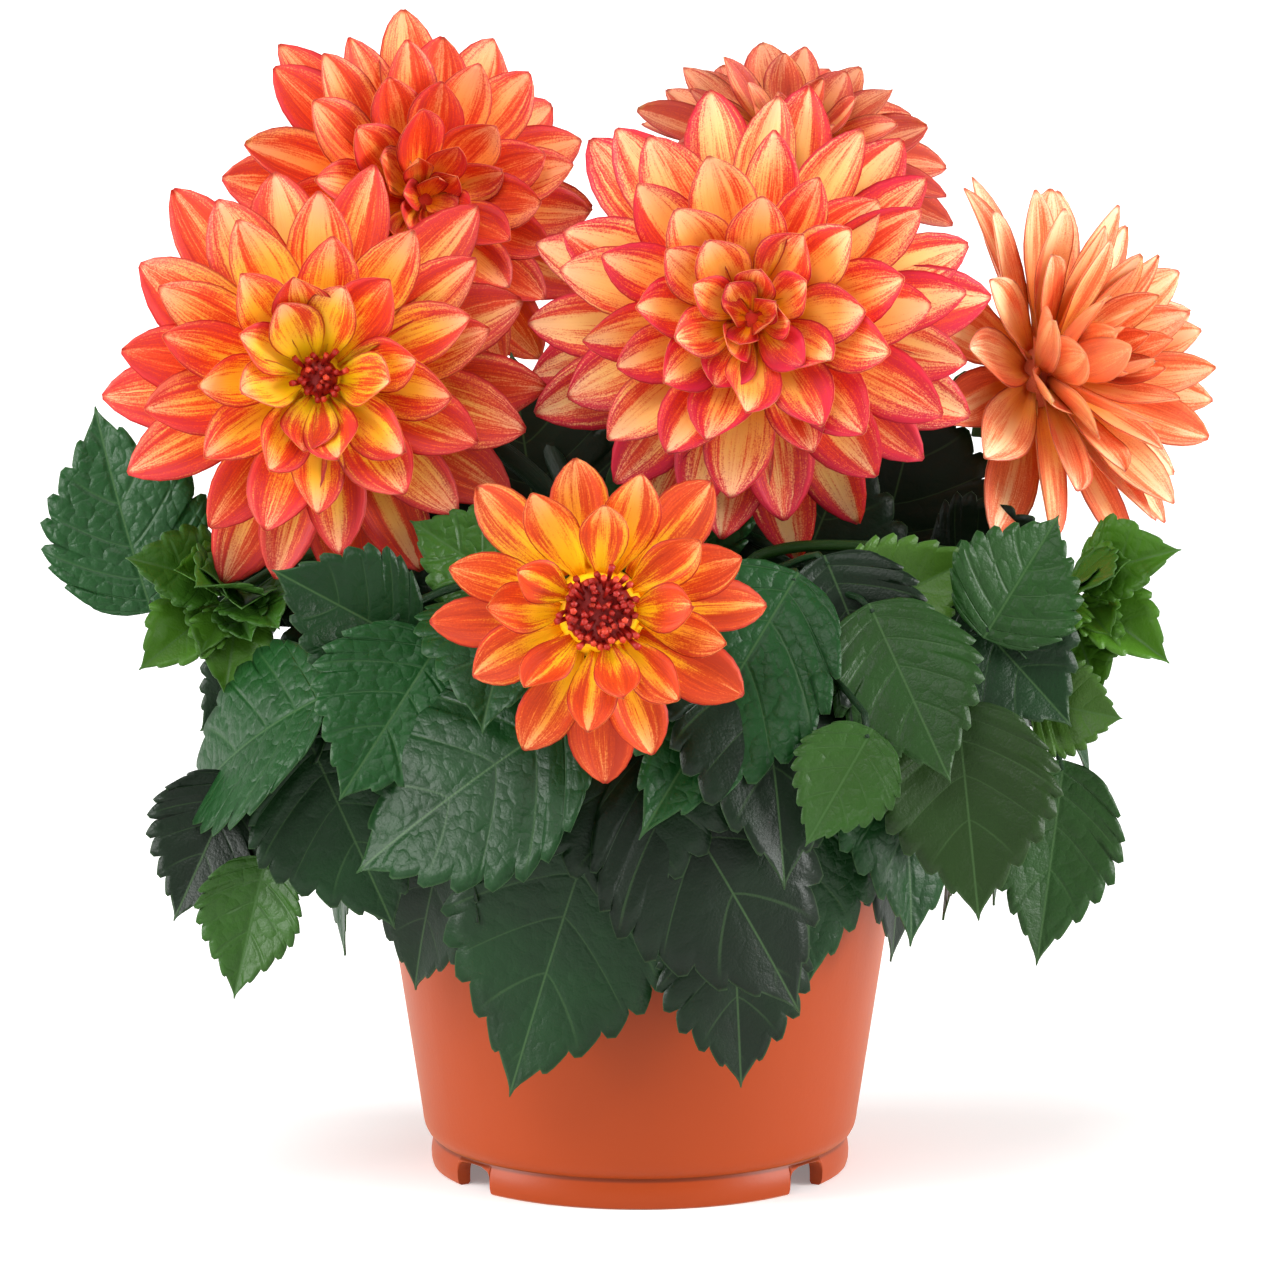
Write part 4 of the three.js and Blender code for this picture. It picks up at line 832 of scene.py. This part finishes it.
def calyx_parts(head):
    """The green cup behind a head, which covers the back of its receptacle, and its eight outer
    bracts, which bend back."""
    wide, high = core_brim(head)
    behind = (-CALYX_DEPTH, -5.5, -2.5, 0.2)
    heights = np.array([*(-CORE_BACK + height for height in behind), high + 0.2])
    path = np.stack([np.zeros(5), np.zeros(5), heights], axis=1)
    cup = plain_tube(path, np.array([[2.4, 5.2, 6.8, 8.1, wide + 0.5]]), 20, 0.15)
    count = 8
    full = np.ones(count)
    turn = np.arange(count) / count * 2 * np.pi
    root = np.stack([full * 6.2, full * (-CORE_BACK - 1.4)], axis=1)
    top, bottom, across, along = petal_sheets(
        turn=turn, opening=full * 104, bend=full * 44, root=root, length=full * 12, width=full * 7,
        cup=full * 0.9, twist=full * 0, sway=full * 0, ruffle=full * 0.2, thickness=0.7, rows=6, columns=5)
    bracts = sheets(top, bottom, across, along, seed=0.4, young=0.25, rib=3.0, rim=9.0, phase=0.25)
    for part in (cup, bracts):
        part["points"] = turn_to(part["points"], head["facing"], head["seat"])
    return [cup, bracts]


def free_place(foot, tip, face, curl):
    """The surface of a leaf that stands clear, straight from foot to tip, with its tip curled,
    and its length."""
    foot, tip = np.array(foot, float), np.array(tip, float)
    length = np.linalg.norm(tip - foot)
    along = (tip - foot) / length
    across = unit(np.cross(face, along))
    normal = np.cross(along, across)

    def place(reach, side, lift):
        lift = lift + curl * (reach / length) ** 2
        return foot + reach[..., None] * along + side[..., None] * across + lift[..., None] * normal

    return place, length


def leafy_parts(head, stem, random):
    """Every leaf of a stem with its stalk: those on the layers, those that stand clear, and the
    small ones deep in the plant."""
    parts = []
    for layer, azimuth, arc, yaw, length, width in LAYER_LEAVES[head["name"]]:
        turn = math.radians(yaw)

        def place(along, across, lift):
            outward, side = spun(along, across, turn)
            return on_layer(layer, azimuth, arc + outward, side, lift)

        reaches = [reach for reach in STALK_REACHES if reach < arc - 6]
        path = [on_layer(layer, azimuth, reach, 0.0, 0.0) for reach in (*reaches, arc, arc + 3)]
        parts.append(stalk_part([at_height(stem, LAYERS[layer][0][1]), *path]))
        parts.append(leaf_part(place, length, width, random))
    for number, (foot, tip, face, width, height, via, curl) in enumerate(FREE_LEAVES[head["name"]]):
        place, length = free_place(foot, tip, face, curl)
        inside = place(np.array(2.5), np.array(0.0), np.array(0.0))
        parts.append(stalk_part([at_height(stem, height), *via, foot, inside]))
        young = YOUNG_LEAVES.get(head["name"], {}).get(number, 0.0)
        parts.append(leaf_part(place, length, width, random, young))
    for foot, tip, width in INNER_LEAVES[head["name"]]:
        place, length = free_place(foot, tip, (0, -1, 0.2), 0)
        bend = between(np.array(foot), stem[STEM_PLACES // 2], 0.3)
        parts.append(stalk_part([at_height(stem, foot[2]), bend, foot]))
        parts.append(leaf_part(place, length, width, random))
    return parts


def shoot_parts(shoot):
    """A young shoot: its stem and the tuft of small pale leaves at its end."""
    random = np.random.RandomState(shoot["seed"])
    stem = make_stem(shoot)
    # the stem takes little of the young colour: its own green, darkened as painted shade where it runs under
    # the heads' lower petals
    parts = [stem_part(shoot, stem, np.linspace(SHOOT_RADIUS, 1.1, STEM_RINGS), 0.1)]
    for tip in shoot["tips"]:
        foot = between(stem[-1], np.array(tip, float), 0.2)
        place, length = free_place(foot, tip, (0, -1, 0.6), 0)
        parts.append(stalk_part([stem[-1], between(stem[-1], foot, 0.5), foot], 0.7))
        parts.append(leaf_part(place, length, SHOOT_LEAF_WIDTH, random, 0.4 + 0.6 * random.rand(),
                               teeth=5, columns=9, crinkle=2.0))
        # a smaller leaf stands before each, turned a little further round
        across = np.cross((0, -1, 0.6), np.array(tip) - foot) * random.uniform(-0.5, 0.5)
        tip = between(stem[-1], np.array(tip, float), 0.62) + across + (0, -4, 2)
        place, length = free_place(foot, tip, (0, -1, 0.6), 3)
        parts.append(leaf_part(place, length, SHOOT_LEAF_WIDTH * 0.7, random, 0.3 + 0.7 * random.rand(),
                               teeth=4, columns=9, crinkle=2.4))
    return parts


# Pot and soil

def turned_part(profile, turns, lift):
    """A profile of (radius, height) pairs, closed on itself, carried round the pot's axis. lift
    gives each height anew by its place round the axis."""
    radii, heights = np.array(profile, float).T
    raised = lift(np.broadcast_to(heights, (len(turns), len(heights))), turns[:, None])
    points = np.stack([radii * np.cos(turns)[:, None], radii * np.sin(turns)[:, None], raised], axis=-1)
    index = np.arange(raised.size).reshape(raised.shape)
    beside, above = np.roll(index, -1, axis=0), np.roll(index, -1, axis=1)
    corner = np.roll(beside, -1, axis=1)
    faces = np.stack([index, beside, corner, above], axis=-1).reshape(-1, 4)
    return dict(points=points.reshape(-1, 3), faces=[faces])


def notched(height, turn):
    """Heights of the foot ring with its notches. At x of a notch's half-width, the base of the
    ring is pressed up by (1 - x^4)^(1/4) of the notch's height, and what lies over it less and
    less, down to nothing at the seam."""
    half = NOTCH_WIDTH / 2 / FOOT_RADIUS
    share = np.zeros_like(turn)
    for angle in NOTCH_ANGLES:
        centre = math.radians(angle - 90)
        off = np.abs((turn - centre + np.pi) % (2 * np.pi) - np.pi) / half
        share = np.maximum(share, np.clip(1 - off**4, 0, 1) ** 0.25)
    return np.where(height < FOOT_HEIGHT, height + NOTCH_HEIGHT * (1 - height / FOOT_HEIGHT) * share, height)


def pot_turns():
    """Angles round the pot: even steps, and close ones at the ends of each notch."""
    half = NOTCH_WIDTH / 2 / FOOT_RADIUS
    ends = [math.radians(angle - 90) + side * half for angle in NOTCH_ANGLES for side in (-1, 1)]
    close = np.array([0, 0.0004, 0.002, 0.005, 0.01, 0.017])
    near = [end + side * close for end in ends for side in (-1, 1)]
    turns = np.concatenate([np.linspace(0, 2 * np.pi, 120, endpoint=False), *near]) % (2 * np.pi)
    return np.unique(np.round(turns, 6))


# The pot's wall as radius and height: the inside of the foot ring, its base, up the outside to
# the rim, and down the inside to the floor
POT_PROFILE = (
    (46.9, 7.8), (46.9, 5), (46.9, 2.5), (46.9, 0.6), (47.4, 0), (49.3, 0), (49.9, 0.4), (50.25, 1.6),
    (50.35, 3.4), (50.1, 5.4), (49.6, 6.8), (49.5, 7.2), (50.1, 7.7), (51.0, 8.5), (51.8, 10), (52.2, 11.6),
    (52.4, 13.2), (54.02, 23.9), (57.8, 48.8), (61.8, 75.2), (65.3, 98.4), (65.6, 99.8), (66.1, 100.2),
    (67.1, 100.4), (67.5, 100.8), (67.65, 101.8), (67.9, 110), (68, 113.4), (67.85, 114.3), (67.3, 114.9),
    (66.7, 115), (66, 115), (65.5, 114.7), (65.35, 114), (65, 101), (64.5, 99.4), (63.45, 98.5),
    (56.8, 54.8), (51.4, 19), (50.7, 14.6), (49.6, 12), (48.2, 10.2), (46.9, 9.7),
)


def floor_part():
    """The pot's floor with its ring of drain holes. Each of six equal sectors is swept from its
    hole to its border: point = hole edge * (1 - s) + border * s, along rays from the hole's
    centre. Equal corners are then merged, so that the sectors close on each other."""
    outer = POT_FLOOR_RADIUS
    corner = math.atan2(outer * 0.5, outer * math.cos(math.pi / 6) - DRAIN_RING_RADIUS)
    rays = np.concatenate([np.linspace(-corner, corner, 11)[:-1], np.linspace(corner, np.pi, 13)[:-1],
                           np.linspace(-np.pi, -corner, 13)[:-1]])
    way = np.stack([np.cos(rays), np.sin(rays)], axis=1)
    hub = np.array([DRAIN_RING_RADIUS, 0.0])
    to_circle = -way[:, 0] * hub[0] + np.sqrt(outer**2 - (way[:, 1] * hub[0]) ** 2)
    lines = []
    for side in (-1, 1):
        normal = np.array([-math.sin(math.pi / 6), side * math.cos(math.pi / 6)])
        facing = way @ normal
        lines.append(np.where(facing > 1e-9, -(hub @ normal) / np.maximum(facing, 1e-9), 1e9))
    on_rim = to_circle <= np.minimum(*lines) + 1e-6
    distance = np.minimum(to_circle, np.minimum(*lines))
    s = np.array([0, 0.3, 1.0])[:, None, None]
    flat = hub + way * (DRAIN_RADIUS * (1 - s) + distance[:, None] * s)
    x, y = spun(flat[..., 0], flat[..., 1], (np.arange(6) * np.pi / 3)[:, None, None])
    levels = np.array(POT_FLOOR)[:, None, None, None]
    points = np.stack(np.broadcast_arrays(x, y, levels), axis=-1)
    index = np.arange(points[..., 0].size).reshape(points.shape[:-1])
    beside = np.roll(index, -1, axis=-1)
    quads = np.stack([index[..., :-1, :], index[..., 1:, :],
                      beside[..., 1:, :], beside[..., :-1, :]], axis=-1)
    upper = quads[1].reshape(-1, 4)
    lower = quads[0][..., ::-1].reshape(-1, 4)
    hole = np.stack([index[0, :, 0], index[1, :, 0], beside[1, :, 0], beside[0, :, 0]], axis=-1)
    rim = np.stack([index[0, :, -1], beside[0, :, -1], beside[1, :, -1], index[1, :, -1]], axis=-1)
    rim = rim[:, on_rim & np.roll(on_rim, -1)]
    faces = np.concatenate([upper, lower, hole.reshape(-1, 4), rim.reshape(-1, 4)])
    merged, where = np.unique(np.round(points.reshape(-1, 3), 4), axis=0, return_inverse=True)
    return dict(points=merged, faces=[where.ravel()[faces]])


def soil_part():
    """The soil: a polar surface whose height drifts with three slow waves, closed below."""
    turns = np.linspace(0, 2 * np.pi, 72, endpoint=False)
    rings = np.linspace(0.5, SOIL_RADIUS, 30)
    top = [(radius, SOIL_TOP + SOIL_CROWN * (1 - (radius / SOIL_RADIUS) ** 2)) for radius in rings[::-1]]
    profile = [(0.5, 9.95), (46.6, 9.95), (49.9, 15), (62.7, 98.5), (63.2, 104), *top]

    def rough(height, turn):
        radius = np.array([radius for radius, _ in profile])
        x, y = radius * np.cos(turn), radius * np.sin(turn)
        waves = np.sin(x * 0.31 + y * 0.12) + np.sin(y * 0.37 - x * 0.2 + 2) + np.sin((x + y) * 0.9 + 1) * 0.5
        return np.where(height >= SOIL_TOP, height + 0.45 * waves, height)

    return turned_part(profile, turns, rough)


def crumb_part(count, size):
    """Crumbs of compost strewn over the soil: eight-faced lumps of uneven size and turn."""
    random = np.random.RandomState(CRUMB_SEED)
    corners = np.array([(1, 0, 0), (-1, 0, 0), (0, 1, 0), (0, -1, 0), (0, 0, 1), (0, 0, -1)], float)
    faces = np.array([(0, 2, 4), (2, 1, 4), (1, 3, 4), (3, 0, 4), (2, 0, 5), (1, 2, 5), (3, 1, 5), (0, 3, 5)])
    radius = CRUMB_REACH * np.sqrt(random.rand(count))
    turn = random.rand(count) * 2 * np.pi
    height = SOIL_TOP + (SOIL_CROWN + 0.1) * (1 - (radius / SOIL_RADIUS) ** 2) + 0.3
    centre = np.stack([radius * np.cos(turn), radius * np.sin(turn), height], axis=1)
    lumps = corners[None] * (size * (0.4 + random.rand(count, 6)[..., None]))
    x, y = spun(lumps[..., 0], lumps[..., 1], (random.rand(count) * 2 * np.pi)[:, None])
    points = np.stack([x, y, lumps[..., 2]], axis=-1) + centre[:, None]
    number = np.arange(count)[:, None, None] * 6
    return dict(points=points.reshape(-1, 3), faces=[(faces[None] + number).reshape(-1, 3)])


# Settings a user would change

def colour_setting(label, note, value):
    """A colour with its sRGB default."""
    return FloatVectorProperty(name=label, description=note, subtype="COLOR", size=4, min=0, max=1,
                               default=linear(value))


class DahliaPotSettings(bpy.types.PropertyGroup):
    wall: colour_setting("Wall", "Colour of the moulded pot", "#98390a")
    shade: colour_setting("Flow marks", "Darker colour of the plastic's flow marks", "#882f08")
    soil: colour_setting("Soil", "Colour of the moist compost", "#1d130d")
    fibre: colour_setting("Fibre", "Colour of the compost's paler fibres", "#4a3828")
    crumbs: IntProperty(name="Crumbs", description="Number of loose crumbs on the soil", default=420, min=0)
    crumb_size: FloatProperty(name="Crumb size", description="Half the length of a usual crumb",
                              default=1.1 * MM, unit="LENGTH", min=0)


class DahliaFoliageSettings(bpy.types.PropertyGroup):
    dark: colour_setting("Dark leaf", "Colour of the darkest leaves", "#0a180b")
    light: colour_setting("Light leaf", "Colour of the lightest grown leaves", "#144018")
    vein: colour_setting("Vein", "Colour of midribs, side veins and cut edges", "#46643a")
    young: colour_setting("Young leaf", "Colour of a young leaf among the grown ones", "#4a7420")
    shoot: colour_setting("Shoot", "Colour of the young shoots' tips", "#447018")
    shoot_dark: colour_setting("Shoot shade", "Colour of the young shoots' darkest leaves", "#14300c")
    seed: IntProperty(name="Seed", description="Starts the random draws that bend each leaf", default=5)


class DahliaHeadSettings(bpy.types.PropertyGroup):
    thickness: FloatProperty(name="Petal thickness", description="Thickness of a petal at its root",
                             default=0.45 * MM, unit="LENGTH", min=0)
    disorder: FloatProperty(name="Disorder", description="How far petals stray from the rule of their spiral",
                            default=1.0, min=0, max=2)
    floret: colour_setting("Floret", "Colour of the tube florets", "#8e0a0c")
    mouth: colour_setting("Floret mouth", "Colour of the florets' mouths", "#d8482a")


class DahliaStageSettings(bpy.types.PropertyGroup):
    key: FloatProperty(name="Key light", description="Strength of the soft light from above the front",
                       default=1.6, min=0)
    sides: FloatProperty(name="Side lights", description="Strength of the soft light from either side",
                         default=4.4, min=0)
    softness: FloatProperty(name="Softness", description="How wide each light looks from the plant",
                            default=math.radians(34), subtype="ANGLE", min=0, max=math.pi)
    sky: FloatProperty(name="Room light", description="Strength of the even light from all round",
                       default=0.56, min=0)


# Petal colours of each head, then how strong its bands are, where they lie from the midline, how
# strong its flushed rims are, and how far its inner petals turn to the heart colour
PETAL_NOTES = {"base": "Colour at the root", "ground": "Colour of the middle", "tip": "Colour of the tip",
               "streak": "Colour of the brushed bands", "rim": "Colour breathed over the edges",
               "line": "Colour of the thin outline", "heart": "Colour of the innermost petals"}
PALETTES = {
    "upper_left": dict(base="#fd9418", ground="#f9a058", tip="#f79c74", streak="#dc3814", rim="#c42c3c",
                       line="#981418", heart="#fa8018", streaks=0.14, middle=0.45, rims=0.8, hearts=0.5),
    "left_front": dict(base="#ffc208", ground="#fdb254", tip="#faa680", streak="#de3414", rim="#c42c38",
                       line="#a01210", heart="#ffb808", streaks=0.1, middle=0.5, rims=0.8, hearts=0.8),
    "centre_right": dict(base="#fd9810", ground="#fcc070", tip="#fcb88c", streak="#e2341c", rim="#c41e3c",
                         line="#a01020", heart="#fb8c18", streaks=0.08, middle=0.6, rims=0.95, hearts=0.7),
    "top_right": dict(base="#e48a38", ground="#dc9064", tip="#e09878", streak="#be402a", rim="#aa3a3e",
                      line="#8c2420", heart="#e07c30", streaks=0.1, middle=0.45, rims=0.7, hearts=0.4),
    "right": dict(base="#fba044", ground="#fec492", tip="#fecaa6", streak="#ee7040", rim="#cc4a3c",
                  line="#a83420", heart="#fba654", streaks=0.04, middle=0.5, rims=0.45, hearts=0.4),
    "small_front": dict(base="#ffbc08", ground="#f2942e", tip="#f4a068", streak="#c8380a", rim="#b8381c",
                        line="#8c1608", heart="#fcac10", streaks=0.2, middle=0.45, rims=0.6, hearts=0.3),
}


def palette_group(name):
    """A settings group with the petal colours of one head."""
    notes = {key: colour_setting(key.capitalize(), note, PALETTES[name][key])
             for key, note in PETAL_NOTES.items()}
    return type("DahliaPetals_" + name, (bpy.types.PropertyGroup,), {"__annotations__": notes})


def chosen(settings, *keys):
    """The colours of the named settings."""
    return [tuple(getattr(settings, key)) for key in keys]


# Operators, one for each piece or group of like pieces

class DAHLIA_OT_pot(bpy.types.Operator):
    """Builds the smooth moulded pot with its notched foot ring and holed floor"""
    bl_idname = "dahlia.pot"
    bl_label = "Pot"

    def execute(self, context):
        settings = context.scene.dahlia_pot
        material = plastic_material("moulded_polypropylene", *chosen(settings, "wall", "shade"))
        parts = [turned_part(POT_PROFILE, pot_turns(), notched), floor_part()]
        add_piece("pot_shell", parts, material, ("pot",), crease=math.radians(35))
        return {"FINISHED"}


class DAHLIA_OT_soil(bpy.types.Operator):
    """Builds the compost and its loose crumbs"""
    bl_idname = "dahlia.soil"
    bl_label = "Soil"

    def execute(self, context):
        settings = context.scene.dahlia_pot
        material = soil_material("peat_compost", *chosen(settings, "soil", "fibre"))
        parts = [soil_part(), crumb_part(settings.crumbs, settings.crumb_size / MM)]
        add_piece("compost", parts, material, ("soil",))
        return {"FINISHED"}


class DAHLIA_OT_foliage(bpy.types.Operator):
    """Builds the six leafy stems with their leaves, stalks and calyx cups"""
    bl_idname = "dahlia.foliage"
    bl_label = "Leafy stems"

    def execute(self, context):
        settings = context.scene.dahlia_foliage
        material = foliage_material("dahlia_leaf", *chosen(settings, "dark", "light", "vein", "young"))
        for number, head in enumerate(HEADS):
            random = np.random.RandomState(settings.seed + number)
            stem = make_stem(head)
            parts = [stem_part(head, stem, STEM_RADIUS), *calyx_parts(head), *leafy_parts(head, stem, random)]
            node = "stem_" + head["name"]
            add_piece("foliage_" + head["name"], parts, material, (node,))
        return {"FINISHED"}


class DAHLIA_OT_shoots(bpy.types.Operator):
    """Builds the two young shoots with their small pale leaves"""
    bl_idname = "dahlia.shoots"
    bl_label = "Young shoots"

    def execute(self, context):
        settings = context.scene.dahlia_foliage
        colours = chosen(settings, "shoot_dark", "light", "vein", "shoot")
        material = foliage_material("young_dahlia_leaf", *colours)
        for shoot in SHOOTS:
            node = "shoot_" + shoot["name"]
            add_piece("young_" + node, shoot_parts(shoot), material, (node,))
        return {"FINISHED"}


class DAHLIA_OT_heads(bpy.types.Operator):
    """Builds the petals and receptacle of each flower head"""
    bl_idname = "dahlia.heads"
    bl_label = "Flower heads"

    def execute(self, context):
        settings = context.scene.dahlia_heads
        for head in HEADS:
            name = head["name"]
            colours = chosen(getattr(context.scene, "dahlia_" + name), *PETAL_NOTES)
            palette = dict(PALETTES[name], **dict(zip(PETAL_NOTES, colours)))
            material = petal_material("ray_petal_" + name, **palette)
            parts = [petal_part(head, settings.thickness / MM, settings.disorder), core_part(head)]
            add_piece("bloom_" + name, parts, material, ("head_" + name,))
        return {"FINISHED"}


class DAHLIA_OT_discs(bpy.types.Operator):
    """Builds the dark tube florets of the two open discs"""
    bl_idname = "dahlia.discs"
    bl_label = "Disc florets"

    def execute(self, context):
        settings = context.scene.dahlia_heads
        material = floret_material("tube_floret", *chosen(settings, "floret", "mouth"))
        for head in HEADS:
            if head["disc"]:
                node = "disc_" + head["name"]
                add_piece("florets_" + head["name"], disc_part(head), material, (node,))
        return {"FINISHED"}


class DAHLIA_OT_stage(bpy.types.Operator):
    """Sets the pale floor, the soft lights and the camera"""
    bl_idname = "dahlia.stage"
    bl_label = "Stage"

    def execute(self, context):
        settings = context.scene.dahlia_stage
        scene = context.scene
        mesh = bpy.data.meshes.new("floor")
        corners = [(x * FLOOR_HALF, y * FLOOR_HALF, 0) for x, y in ((-1, -1), (1, -1), (1, 1), (-1, 1))]
        mesh.from_pydata(corners, [], [(0, 1, 2, 3)])
        mesh.materials.append(floor_material("matt_white_card"))
        floor = bpy.data.objects.new("floor", mesh)
        scene.collection.objects.link(floor)
        world = bpy.data.worlds.new("studio")
        world.use_nodes = True
        room = world.node_tree.nodes["Background"].inputs
        room["Color"].default_value = (1, 1, 1, 1)
        room["Strength"].default_value = settings.sky
        scene.world = world
        # colours on the screen as they are, so that the white floor shows white
        scene.view_settings.view_transform = "Standard"
        for name, way, strength, share in LIGHTS:
            data = bpy.data.lights.new(name, "SUN")
            data.energy = getattr(settings, strength) * share
            data.angle = settings.softness
            lamp = bpy.data.objects.new(name, data)
            lamp.rotation_euler = Vector(way).to_track_quat("Z", "Y").to_euler()
            scene.collection.objects.link(lamp)
        data = bpy.data.cameras.new("photograph")
        data.sensor_width = SENSOR
        data.lens = LENS
        camera = bpy.data.objects.new("photograph", data)
        camera.location = CAMERA_PLACE
        camera.rotation_euler = (math.radians(CAMERA_TILT), 0, 0)
        scene.collection.objects.link(camera)
        scene.camera = camera
        return {"FINISHED"}


OPERATORS = (DAHLIA_OT_stage, DAHLIA_OT_pot, DAHLIA_OT_soil, DAHLIA_OT_foliage, DAHLIA_OT_shoots,
             DAHLIA_OT_heads, DAHLIA_OT_discs)
SETTINGS = (("dahlia_pot", DahliaPotSettings), ("dahlia_foliage", DahliaFoliageSettings),
            ("dahlia_heads", DahliaHeadSettings), ("dahlia_stage", DahliaStageSettings),
            *(("dahlia_" + name, palette_group(name)) for name in PALETTES))


class DAHLIA_PT_panel(bpy.types.Panel):
    """Lists the pieces of the potted dahlia"""
    bl_idname = "DAHLIA_PT_panel"
    bl_label = "Potted dahlia"
    bl_space_type = "VIEW_3D"
    bl_region_type = "UI"
    bl_category = "Dahlia"

    def draw(self, context):
        for operator in OPERATORS:
            self.layout.operator(operator.bl_idname)
        for name, _ in SETTINGS:
            settings = getattr(context.scene, name)
            self.layout.label(text=name.removeprefix("dahlia_").replace("_", " "))
            for key in settings.__annotations__:
                self.layout.prop(settings, key)


def register():
    """Registers the settings groups, the operators and the panel."""
    for name, group in SETTINGS:
        bpy.utils.register_class(group)
        setattr(bpy.types.Scene, name, PointerProperty(type=group))
    for kind in (*OPERATORS, DAHLIA_PT_panel):
        bpy.utils.register_class(kind)


def unregister():
    """Takes them all away again."""
    for kind in reversed((*OPERATORS, DAHLIA_PT_panel)):
        bpy.utils.unregister_class(kind)
    for name, group in reversed(SETTINGS):
        delattr(bpy.types.Scene, name)
        bpy.utils.unregister_class(group)


def main():
    """Builds every piece in order."""
    register()
    for operator in OPERATORS:
        family, name = operator.bl_idname.split(".")
        getattr(getattr(bpy.ops, family), name)()


if __name__ == "__main__":
    main()
